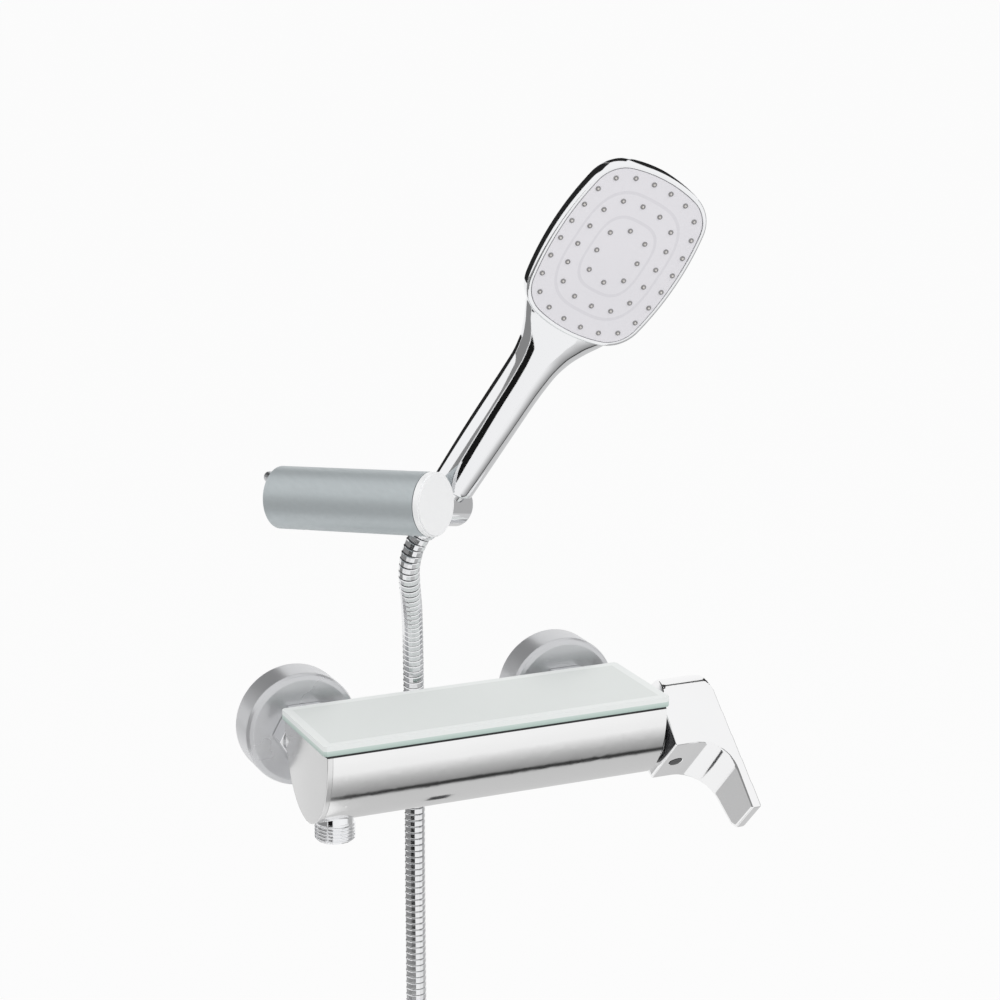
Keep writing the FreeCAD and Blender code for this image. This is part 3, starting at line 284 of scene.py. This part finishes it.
for number in range(hose["coilTurns"] * hose["pointsPerTurn"]):
    angle = math.pi + (number + 0.5) * step
    forward = hose["coilPitch"] * (number + 0.5) / hose["pointsPerTurn"]
    points.append(Vector((coilX + outer * math.cos(angle), downY - forward,
                          hose["coilLevel"] + outer * math.sin(angle))))
endY = downY - hose["coilPitch"] * hose["coilTurns"]
points[-1].y = endY
for drop in (lead, hose["tail"] * hose["tailMiddleShare"], hose["tail"]):
    points.append(Vector((downX, endY, hose["coilLevel"] - drop)))
routeCurve = bpy.data.curves.new("hoseRoute", "CURVE")
routeCurve.dimensions = "3D"
routeCurve.resolution_u = hose["resolution"]
spline = routeCurve.splines.new("NURBS")
spline.points.add(len(points) - 1)
for spot, point in zip(spline.points, points):
    spot.co = (*point, 1)
spline.order_u = hose["order"]
spline.use_endpoint_u = True
routeObject = bpy.data.objects.new("hoseRoute", routeCurve)
scene.collection.objects.link(routeObject)


def evaluatedMesh(piece):
    bpy.context.view_layer.update()
    return bpy.data.meshes.new_from_object(piece.evaluated_get(bpy.context.evaluated_depsgraph_get()))


line = [vertex.co.copy() for vertex in evaluatedMesh(routeObject).vertices]
bpy.data.objects.remove(routeObject)
splitIndex = next(index for index, point in enumerate(line) if point.z < hose["splitHeight"])
upperLine = line[:splitIndex + 1]
lowerLine = line[splitIndex:]


def namedTree(name, sizes):
    tree = bpy.data.node_groups.new(name, "GeometryNodeTree")
    tree.interface.new_socket("Geometry", in_out="INPUT", socket_type="NodeSocketGeometry")
    tree.interface.new_socket("Geometry", in_out="OUTPUT", socket_type="NodeSocketGeometry")
    for label in sizes:
        tree.interface.new_socket(label, in_out="INPUT", socket_type="NodeSocketFloat")
    return tree, addNode(tree, "NodeGroupInput")


def joined(tree, smooth, *parts):
    both = tree.nodes.new("GeometryNodeJoinGeometry")
    for part in parts:
        tree.links.new(part.socket, both.inputs[0])
    shaded = addNode(tree, "GeometryNodeSetShadeSmooth", None,
                     {"Geometry": Shade(tree, both.outputs[0]), "Shade Smooth": smooth})[0]
    addNode(tree, "NodeGroupOutput", None, {0: shaded})


def grown(name, mesh, tree, sizes):
    piece = bpy.data.objects.new(name, mesh)
    scene.collection.objects.link(piece)
    modifier = piece.modifiers.new(name, "NODES")
    modifier.node_group = tree
    for item in tree.interface.items_tree:
        if item.name in sizes:
            modifier[item.identifier] = sizes[item.name]
    made = evaluatedMesh(piece)
    piece.modifiers.clear()
    piece.data = made
    return piece


def circle(tree, sides, radius):
    return addNode(tree, "GeometryNodeCurvePrimitiveCircle", None,
                   {"Resolution": sides, "Radius": radius})[0]


def painted(tree, geometry, paint):
    return addNode(tree, "GeometryNodeSetMaterial", None, {"Geometry": geometry, "Material": paint})[0]


def repeated(tree, spots, instance, rotation, paint):
    copies = addNode(tree, "GeometryNodeInstanceOnPoints", None,
                     {"Points": spots, "Instance": instance, "Rotation": rotation})[0]
    copies = addNode(tree, "GeometryNodeRealizeInstances", None, {"Geometry": copies})[0]
    return painted(tree, copies, paint)


ribSizes = {"CoreRadius": hose["core"], "RibRadius": hose["radius"] - hose["ribDepth"] / 2,
            "RibDepth": hose["ribDepth"], "RibWidth": hose["ribWidth"], "RibPitch": hose["ribPitch"]}
ribs, given = namedTree("hoseRibs", ribSizes)
geometry, coreRadius, ribRadius, ribDepth, ribWidth, ribPitch = given[:6]
curve = addNode(ribs, "GeometryNodeMeshToCurve", None, {"Mesh": geometry})[0]
core = addNode(ribs, "GeometryNodeCurveToMesh", None,
               {"Curve": curve, "Profile Curve": circle(ribs, hose["coreSides"], coreRadius),
                "Fill Caps": True})[0]
# the core shows between the ribs as painted shade in the grooves
core = painted(ribs, core, paints["hoseGrooveShade"])
band = addNode(ribs, "GeometryNodeCurvePrimitiveQuadrilateral", None,
               {"Width": ribDepth, "Height": ribWidth})[0]
band = addNode(ribs, "GeometryNodeFilletCurve", None,
               {"Curve": band, "Radius": ribDepth * hose["ribRoundShare"]})[0]
rib = addNode(ribs, "GeometryNodeCurveToMesh", None,
              {"Curve": circle(ribs, hose["ribSides"], ribRadius), "Profile Curve": band})[0]
spaced = addNode(ribs, "GeometryNodeResampleCurve", {"mode": "LENGTH"},
                 {"Curve": curve, "Length": ribPitch})[0]
tangent = addNode(ribs, "GeometryNodeInputTangent")[0]
alongHose = addNode(ribs, "FunctionNodeAlignRotationToVector", {"axis": "Z"}, {"Vector": tangent})[0]
rows = repeated(ribs, spaced, rib, alongHose, paints["hoseChrome"])
joined(ribs, False, core, rows)


def ribbedHose(name, path):
    mesh = bpy.data.meshes.new(name)
    mesh.from_pydata([tuple(point) for point in path], [(i, i + 1) for i in range(len(path) - 1)], [])
    return grown(name, mesh, ribs, ribSizes)


hoseTop = ribbedHose("hoseTop", upperLine)
hoseRun = ribbedHose("hoseRun", lowerLine)
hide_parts("hose_upper")
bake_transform(hoseTop)
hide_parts("hose_lower", "hose_coil")
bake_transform(hoseRun)
hoseRun.visible_glossy = False  # the photo's metal mirrors no hose
print("hose made", len(hoseTop.data.polygons), len(hoseRun.data.polygons))

# outlet: turned nipple with a cut thread
outlet = {"place": (-0.075, -0.0648), "top": -0.018, "shoulder": -0.0335, "end": -0.0432, "shank": 0.0095,
          "crest": 0.01048, "root": 0.0094, "bore": 0.007, "pitch": 0.001814, "stepHeight": 0.0001,
          "crestGain": 1.7, "crestDrop": 0.35, "fadeInShare": 0.08, "fadeOutShare": 0.10, "rows": 54,
          "sides": 72, "sharpAngle": 40}


def outletRadius(level, angle):
    fromTop = (outlet["shoulder"] - level) / (outlet["shoulder"] - outlet["end"])
    wave = (level / outlet["pitch"] + angle / (2 * math.pi)) % 1
    crest = 1 - abs(2 * wave - 1)
    crest = min(1, max(0, crest * outlet["crestGain"] - outlet["crestDrop"]))
    fade = min(1, fromTop / outlet["fadeInShare"], (1 - fromTop) / outlet["fadeOutShare"])
    return outlet["root"] + (outlet["crest"] - outlet["root"]) * crest * max(0, fade)


levels = [(outlet["top"], outlet["shank"]), (outlet["shoulder"] + outlet["stepHeight"], outlet["shank"])]
for row in range(outlet["rows"] + 1):
    levels.append((outlet["shoulder"] + (outlet["end"] - outlet["shoulder"]) * row / outlet["rows"], None))
levels += [(outlet["end"], outlet["bore"]), (outlet["top"], outlet["bore"])]
outletX, outletY = outlet["place"]
vertices = []
for level, fixed in levels:
    for side in range(outlet["sides"]):
        angle = 2 * math.pi * side / outlet["sides"]
        reach = fixed or outletRadius(level, angle)
        vertices.append((outletX + reach * math.cos(angle), outletY + reach * math.sin(angle), level))
faces = []
for row in range(len(levels)):
    for side in range(outlet["sides"]):
        here = row * outlet["sides"]
        beside = (row + 1) % len(levels) * outlet["sides"]
        after = (side + 1) % outlet["sides"]
        faces.append((here + side, beside + side, beside + after, here + after))
outletMesh = bpy.data.meshes.new("threadedOutlet")
outletMesh.from_pydata(vertices, [], faces)
outletMesh.validate()
outletMesh.shade_smooth()
outletMesh.set_sharp_from_angle(angle=math.radians(outlet["sharpAngle"]))
outletMesh.materials.append(paints["polishedChrome"])
threadedOutlet = bpy.data.objects.new("threadedOutlet", outletMesh)
scene.collection.objects.link(threadedOutlet)
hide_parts("outlet_nipple")
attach(threadedOutlet, "mixer")
print("outlet made")

# lever: the solid's own shape with its edges rounded
lever = {"weld": 0.00001, "voxel": 0.0006, "factor": 0.5, "rounds": 16}
shape = bmesh.new()
shape.from_mesh(nodes["lever_handle"].data)
bmesh.ops.remove_doubles(shape, verts=shape.verts, dist=lever["weld"])
leverMesh = bpy.data.meshes.new("leverGrip")
shape.to_mesh(leverMesh)
shape.free()
leverGrip = bpy.data.objects.new("leverGrip", leverMesh)
scene.collection.objects.link(leverGrip)
remesh = leverGrip.modifiers.new("remesh", "REMESH")
remesh.mode = "VOXEL"
remesh.voxel_size = lever["voxel"]
soften = leverGrip.modifiers.new("soften", "SMOOTH")
soften.factor = lever["factor"]
soften.iterations = lever["rounds"]
rounded = evaluatedMesh(leverGrip)
leverGrip.modifiers.clear()
leverGrip.data = rounded
rounded.materials.clear()
rounded.materials.append(paints["leverChrome"])
rounded.shade_smooth()
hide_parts("lever_handle")
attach(leverGrip, "lever")
print("lever made", len(rounded.polygons))

# handset: a handle with a long smooth taper, and a head with bowed sides round the spray face
shell = {
    "place": (-0.0150876, -0.0635820, 0.1259323),
    "wide": [(0.0122, 0.0110), (0.040, 0.0114), (0.070, 0.0116), (0.086, 0.0123), (0.097, 0.0146),
             (0.106, 0.0186), (0.113, 0.0226), (0.120, 0.0262), (0.127, 0.0285)],
    "front": [(0.0122, -0.0110), (0.045, -0.0096), (0.075, -0.0088), (0.092, -0.0090), (0.105, -0.0098),
              (0.114, -0.0103), (0.127, -0.0100)],
    "back": [(0.0122, 0.0110), (0.045, 0.0118), (0.070, 0.0114), (0.088, 0.0096), (0.103, 0.0058),
             (0.115, 0.0020), (0.127, 0.0004)],
    "square": [(0.0122, 2.0), (0.060, 2.3), (0.127, 2.6)],  # 2 is an ellipse
    "spigot": [(-0.0145, 0.0047), (-0.0110, 0.0047), (-0.0110, 0.0071), (0.0110, 0.0081), (0.0114, 0.0081),
               (0.0114, 0.0104), (0.0118, 0.0108)],
    "spigotSquare": 2.0, "rows": 70, "sides": 56,
    "headMiddle": 0.158, "sideCentre": (-0.115, 0.0), "sideRadius": 0.150, "sideTilt": 11.1,
    "cornerCentre": (0.01355, 0.02523), "cornerRadius": 0.019, "endTilt": 75.18,
    "endCentre": (0.0, -0.026), "endRadius": 0.072, "sideSteps": 10, "cornerSteps": 16, "endSteps": 8,
    "rim": [(-0.0022, -0.0085), (-0.0022, -0.0107), (-0.0020, -0.0110), (-0.0010, -0.0110),
            (-0.0003, -0.0106), (0.0, -0.0098), (0.0, -0.0035)],
    "backRound": 0.005, "backLevel": 0.0015, "backSteps": 8, "dome": [(-0.010, 0.0019), (-0.016, 0.0022)],
    "sharpAngle": 50,
}
handsetPlace = Vector(shell["place"])


def eased(stops, at):
    # cubic through the stops with slopes that never overshoot
    slopes = [(b[1] - a[1]) / (b[0] - a[0]) for a, b in zip(stops, stops[1:])]
    grades = [slopes[0]]
    for before, after in zip(slopes, slopes[1:]):
        grades.append(0 if before * after <= 0 else 2 * before * after / (before + after))
    grades.append(slopes[-1])
    index = max(0, sum(1 for stop in stops[:-1] if stop[0] <= at) - 1)
    (x0, y0), (x1, y1) = stops[index], stops[index + 1]
    span = x1 - x0
    t = min(1, max(0, (at - x0) / span))
    return (y0 * (1 + 2 * t) * (1 - t) ** 2 + y1 * t * t * (3 - 2 * t)
            + span * t * (1 - t) * (grades[index] * (1 - t) - grades[index + 1] * t))


def placed(x, y, z):
    return tuple(handsetPlace + handsetTurn @ Vector((x, y, z)))


def signedPower(value, power):
    return math.copysign(abs(value) ** power, value)


def ringFaces(rowCount, sideCount, offset):
    faces = []
    for row in range(rowCount - 1):
        here = offset + row * sideCount
        above = here + sideCount
        for side in range(sideCount):
            after = (side + 1) % sideCount
            faces.append((here + side, here + after, above + after, above + side))
    last = offset + (rowCount - 1) * sideCount
    faces.append(tuple(offset + side for side in reversed(range(sideCount))))
    faces.append(tuple(last + side for side in range(sideCount)))
    return faces


handleRows = [(level, radius, -radius, radius, shell["spigotSquare"]) for level, radius in shell["spigot"]]
startLevel, endLevel = shell["wide"][0][0], shell["wide"][-1][0]
for row in range(shell["rows"] + 1):
    level = startLevel + (endLevel - startLevel) * row / shell["rows"]
    handleRows.append((level, *[eased(shell[name], level) for name in ("wide", "front", "back", "square")]))
vertices = []
for level, wide, frontEdge, backEdge, square in handleRows:
    for side in range(shell["sides"]):
        angle = 2 * math.pi * side / shell["sides"]
        sideways = wide * signedPower(math.cos(angle), 2 / square)
        deep = (backEdge - frontEdge) / 2 * signedPower(math.sin(angle), 2 / square)
        vertices.append(placed(sideways, (backEdge + frontEdge) / 2 + deep, level))
faces = ringFaces(len(handleRows), shell["sides"], 0)

# a quarter of the head's outline with its normals: side, corner, end
quarter = []
for start, end, part in ((0, shell["sideTilt"], "side"), (shell["sideTilt"], shell["endTilt"], "corner"),
                         (shell["endTilt"], 90, "end")):
    centre, radius, steps = [shell[part + measure] for measure in ("Centre", "Radius", "Steps")]
    for index in range(steps):
        tilt = math.radians(start + (end - start) * index / steps)
        normal = (math.cos(tilt), math.sin(tilt))
        quarter.append((centre[0] + radius * normal[0], centre[1] + radius * normal[1], *normal))
endMiddle = (0.0, shell["endCentre"][1] + shell["endRadius"], 0.0, 1.0)
upperLeft = [(-x, z, -nx, nz) for x, z, nx, nz in reversed(quarter)]
upper = quarter + [endMiddle] + upperLeft
outline = upper + [(-x, -z, -nx, -nz) for x, z, nx, nz in upper[1:-1]]
profile = list(shell["rim"])
for index in range(1, shell["backSteps"] + 1):
    bend = math.pi / 2 * index / shell["backSteps"]
    profile.append((shell["backRound"] * (math.cos(bend) - 1),
                    shell["backLevel"] - shell["backRound"] * (1 - math.sin(bend))))
profile += shell["dome"]
headStart = len(vertices)
for offset, level in profile:
    for x, z, nx, nz in outline:
        vertices.append(placed(x + offset * nx, level, shell["headMiddle"] + z + offset * nz))
faces += ringFaces(len(profile), len(outline), headStart)
shellMesh = bpy.data.meshes.new("handsetBody")
shellMesh.from_pydata(vertices, [], faces)
shape = bmesh.new()
shape.from_mesh(shellMesh)
bmesh.ops.recalc_face_normals(shape, faces=shape.faces)
shape.to_mesh(shellMesh)
shape.free()
shellMesh.shade_smooth()
shellMesh.set_sharp_from_angle(angle=math.radians(shell["sharpAngle"]))
shellMesh.materials.append(paints["platedPlastic"])
handsetBody = bpy.data.objects.new("handsetBody", shellMesh)
scene.collection.objects.link(handsetBody)
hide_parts("handset_shell")
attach(handsetBody, "handset")
print("handset made")

# spray face: moulded lines round its middle, drawn as painted shade, and rubber nozzles in rings, each in a
# ring of painted groove shade
spray = {
    "acrossHalf": 0.0325, "alongHalf": 0.0435, "corner": 3.0, "lines": (0.74, 0.46), "lineWidth": 0.018,
    "lineShadeShare": 0.35, "light": (0.81, 0.795, 0.83), "shadow": (0.76, 0.75, 0.785),
    "lineShadeTone": (0.60, 0.59, 0.63), "shadowScale": 18.0, "shadowDetail": 1.0, "rough": (0.26, 0.34),
    "scale": 300, "bump": 0.03,
}
across, facing, along = handsetTurn.col[0], -handsetTurn.col[1], handsetTurn.col[2]


def sprayTones(tree):
    low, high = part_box("spray_face")
    place = objectPlace(tree)
    fromMiddle = addNode(tree, "ShaderNodeVectorMath", {"operation": "SUBTRACT"},
                         {0: place, 1: (low + high) / 2})[0]
    reaches = []
    for axis, half in ((across, spray["acrossHalf"]), (along, spray["alongHalf"])):
        dot = addNode(tree, "ShaderNodeVectorMath", {"operation": "DOT_PRODUCT"},
                      {0: fromMiddle, 1: axis})[1]
        reaches.append(abs(dot) / half)
    ringShare = (reaches[0] ** spray["corner"] + reaches[1] ** spray["corner"]) ** (1 / spray["corner"])
    # the moulded lines are drawn as darker rings of colour: painted shade along their relief
    paintedLineShade = 0
    for share in spray["lines"]:
        paintedLineShade = paintedLineShade + (abs(ringShare - share) < spray["lineWidth"])
    shade = addNode(tree, "ShaderNodeTexNoise", None,
                    {"Vector": place, "Scale": spray["shadowScale"], "Detail": spray["shadowDetail"]})[0]
    plain = mixed(tree, shade, spray["light"], spray["shadow"])
    return mixed(tree, paintedLineShade * spray["lineShadeShare"], plain, spray["lineShadeTone"])


finish("sprayFace", {"tones": sprayTones, "rough": spray["rough"], "scale": spray["scale"],
                     "bump": spray["bump"], "on": ("spray_face",)})

nozzle = {
    "ringRadius": 0.00098, "ringWire": 0.00036, "ringSides": 16, "wireSides": 6, "tipRadius": 0.0007,
    "tipHeight": 0.0009, "tipSides": 14, "tipSteps": 2, "tipTopShare": 0.55, "near": 0.003,
    # the ring round each tip is painted mid grey: painted shade in the groove round the nozzle
    "grooveShade": {"tones": ((0.26, 0.255, 0.26), (0.34, 0.335, 0.34)), "rough": (0.5, 0.65), "scale": 400,
               "bump": 0.1},
    "tip": {"tones": ((0.74, 0.71, 0.68), (0.64, 0.62, 0.60)), "rough": (0.45, 0.6), "scale": 400,
            "bump": 0.1},
}
# the ring's material is painted shade of the groove round each nozzle
nozzleGrooveShade = finish("nozzleGrooveShade", nozzle["grooveShade"])
nozzleTip = finish("nozzleTip", nozzle["tip"])
clusters = []
for vertex in nodes["spray_nozzles"].data.vertices:
    home = next((cluster for cluster in clusters if (cluster[0] - vertex.co).length < nozzle["near"]), None)
    if home is None:
        clusters.append([vertex.co.copy()])
    else:
        home.append(vertex.co.copy())
centres = []
for cluster in clusters:
    base = min(point.dot(facing) for point in cluster)
    middle = sum(cluster, Vector()) / len(cluster)
    centres.append(middle + facing * (base - middle.dot(facing)))
nozzleSizes = {"RingRadius": nozzle["ringRadius"], "RingWire": nozzle["ringWire"],
               "TipRadius": nozzle["tipRadius"], "TipHeight": nozzle["tipHeight"]}
nozzleTree, given = namedTree("nozzleRows", nozzleSizes)
geometry, ringRadius, ringWire, tipRadius, tipHeight = given[:5]
ring = addNode(nozzleTree, "GeometryNodeCurveToMesh", None,
               {"Curve": circle(nozzleTree, nozzle["ringSides"], ringRadius),
                "Profile Curve": circle(nozzleTree, nozzle["wireSides"], ringWire)})[0]
tip = addNode(nozzleTree, "GeometryNodeMeshCone", None,
              {"Vertices": nozzle["tipSides"], "Side Segments": nozzle["tipSteps"],
               "Radius Top": tipRadius * nozzle["tipTopShare"], "Radius Bottom": tipRadius,
               "Depth": tipHeight})[0]
upright = facing.to_track_quat("Z", "Y").to_euler()
joined(nozzleTree, True, repeated(nozzleTree, geometry, ring, upright, nozzleGrooveShade),
       repeated(nozzleTree, geometry, tip, upright, nozzleTip))
nozzleMesh = bpy.data.meshes.new("nozzles")
nozzleMesh.from_pydata([tuple(centre) for centre in centres], [], [])
nozzles = grown("nozzles", nozzleMesh, nozzleTree, nozzleSizes)
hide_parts("spray_nozzles")
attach(nozzles, "handset")
print("spray face made", len(centres), "nozzles")

# glass shelf: pale top with a lighter border of painted reflection, and a green edge that lightens upwards
# into a painted highlight
# the rim tone and the edge's lighter tone are painted highlights of the polished glass edge
shelf = {
    "border": 0.0045, "inner": (0.72, 0.75, 0.735), "rim": (0.81, 0.835, 0.825), "edge": (0.40, 0.51, 0.47),
    "edgeLight": (0.60, 0.70, 0.66), "topSkin": 0.0002, "bevelShare": 0.5, "rough": (0.26, 0.34),
    "scale": 30,
}


def shelfTones(tree):
    low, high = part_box("glass_shelf")
    middle = (low + high) / 2
    half = (high - low) / 2
    x, y, z = addNode(tree, "ShaderNodeSeparateXYZ", None, {"Vector": objectPlace(tree)})
    # the border is painted lighter: painted reflection of the glass edge, seen through the top
    onRim = (abs(x - middle.x) > half.x - shelf["border"]) + (abs(y - middle.y) > half.y - shelf["border"])
    onEdge = z < high.z - shelf["topSkin"]
    height = (z - low.z) / (high.z - low.z)
    top = mixed(tree, onRim > 0.5, shelf["inner"], shelf["rim"])
    # the edge goes from its own green at the bottom to a painted highlight, then the rim's painted tone
    # above
    edge = mixed(tree, height / shelf["bevelShare"], shelf["edge"], shelf["edgeLight"])
    edge = mixed(tree, height > shelf["bevelShare"], edge, shelf["rim"])
    return mixed(tree, onEdge, top, edge)


finish("greenGlass", {"tones": shelfTones, "rough": shelf["rough"], "scale": shelf["scale"],
                      "on": ("glass_shelf",)})
print("glass made")

# studio: pale floor and white surround, dark and grey cards that show only in reflections, two soft lamps
studio = {"floorLevel": -0.9, "floorSize": 60, "floorGrey": 0.86, "floorGlow": 0.88, "surround": 1.0,
          "soft": 0.85, "white": (1, 1, 1, 1)}


def emptyMaterial(name):
    material = bpy.data.materials.new(name)
    material.use_nodes = True
    material.node_tree.nodes.clear()
    return material


def sheet(name, corners, material):
    mesh = bpy.data.meshes.new(name)
    mesh.from_pydata(corners, [], [(0, 1, 2, 3)])
    mesh.materials.append(material)
    piece = bpy.data.objects.new(name, mesh)
    scene.collection.objects.link(piece)
    return piece


def flatSheet(name, left, right, front, back, level, material):
    corners = [(left, front, level), (right, front, level), (right, back, level), (left, back, level)]
    return sheet(name, corners, material)


floorPaint = emptyMaterial("paleFloor")
tree = floorPaint.node_tree
glow = addNode(tree, "ShaderNodeEmission", None, {"Color": studio["white"], "Strength": 1.0})[0]
matt = addNode(tree, "ShaderNodeBsdfDiffuse", None, {"Color": (*[studio["floorGrey"]] * 3, 1)})[0]
surface = addNode(tree, "ShaderNodeMixShader", None,
                  {0: backgroundRays(tree) * studio["floorGlow"], 1: matt, 2: glow})[0]
addNode(tree, "ShaderNodeOutputMaterial", None, {"Surface": surface})
reach = studio["floorSize"] / 2
flatSheet("floor", -reach, reach, -reach, reach, studio["floorLevel"], floorPaint)


# a glowing card whose tone follows the stops from start to end in y
def cardPaint(name, stops, start=0.0, end=1.0):
    material = emptyMaterial(name)
    tree = material.node_tree
    depth = addNode(tree, "ShaderNodeSeparateXYZ", None, {"Vector": objectPlace(tree)})[1]
    tone = addNode(tree, "ShaderNodeValToRGB", {"stops": stops}, {0: (depth - start) / (end - start)})[0]
    glow = addNode(tree, "ShaderNodeEmission", None, {"Color": tone, "Strength": 1.0})[0]
    addNode(tree, "ShaderNodeOutputMaterial", None, {"Surface": glow})
    return material


def plainCard(name, grey):
    return cardPaint(name + "Tone", [(0.0, grey), (1.0, grey)])


def mirroredOnly(piece):
    piece.visible_camera = piece.visible_diffuse = False
    piece.visible_shadow = piece.visible_transmission = False


under = {"front": -2.8, "back": 2.0, "left": 0.2, "right": 3.0, "level": -0.85,
         "stops": [(0.0, 1.0), (0.2, 1.0), (0.35, 0.95), (0.44, 0.48), (0.49, 0.30), (0.497, 0.02),
                   (0.511, 0.02), (0.522, 0.60), (1.0, 0.68)]}
underPaint = cardPaint("underTones", under["stops"], under["front"], under["back"])
mirroredOnly(flatSheet("underCard", under["left"], under["right"], under["front"], under["back"],
                       under["level"], underPaint))

# bearings from the front towards the left, tilts up from the origin's level, in degrees
cardDistance = 1.6
cards = {
    "blackFront": {"bearing": (34, 62), "tilt": (-32, 8), "grey": 0.01},
    "backLeft": {"bearing": (66, 146), "tilt": (-28, 12), "grey": 0.26},
    "backDark": {"bearing": (150, 185), "tilt": (2, 54), "grey": 0.02},
    "backTop": {"bearing": (186, 220.5), "tilt": (38, 52), "grey": 0.02},
    "backRight": {"bearing": (220.5, 238), "tilt": (18, 42), "grey": 0.02},
    "rightBack": {"bearing": (-110, -70), "tilt": (-30, 25), "grey": 0.45},
}
for name, card in cards.items():
    corners = []
    for side, height in ((0, 0), (1, 0), (1, 1), (0, 1)):
        bearing = math.radians(card["bearing"][side])
        corners.append((-math.sin(bearing) * cardDistance, -math.cos(bearing) * cardDistance,
                        math.tan(math.radians(card["tilt"][height])) * cardDistance))
    mirroredOnly(sheet(name, corners, plainCard(name, card["grey"])))

# low card behind, for the lever's inner face
behind = {"left": -1.0, "right": -0.665, "depth": 1.455, "low": -0.88, "high": -0.35, "grey": 0.54}
corners = [(behind[side], behind["depth"], behind[height])
           for side, height in (("left", "low"), ("right", "low"), ("right", "high"), ("left", "high"))]
mirroredOnly(sheet("leverGrey", corners, plainCard("leverGrey", behind["grey"])))

lampAim = Vector((0, -0.05, 0.05))
lamps = {
    "keyLamp": {"power": 10, "size": 1.2, "place": (1.1, -1.5, 1.6)},
    "fillLamp": {"power": 4, "size": 1.5, "place": (-1.6, -1.0, 0.9)},
}
for name, lamp in lamps.items():
    light = bpy.data.lights.new(name, "AREA")
    light.energy = lamp["power"]
    light.size = lamp["size"]
    piece = bpy.data.objects.new(name, light)
    piece.location = lamp["place"]
    piece.rotation_euler = (lampAim - Vector(lamp["place"])).to_track_quat("-Z", "Y").to_euler()
    piece.visible_glossy = False
    scene.collection.objects.link(piece)

world = bpy.data.worlds.new("studio")
scene.world = world
world.use_nodes = True
tree = world.node_tree
tree.nodes.clear()
white, soft = [addNode(tree, "ShaderNodeBackground", None,
                       {"Color": studio["white"], "Strength": studio[name]})[0]
               for name in ("surround", "soft")]
sky = addNode(tree, "ShaderNodeMixShader", None, {0: backgroundRays(tree), 1: soft, 2: white})[0]
addNode(tree, "ShaderNodeOutputWorld", None, {"Surface": sky})
print("stage set")
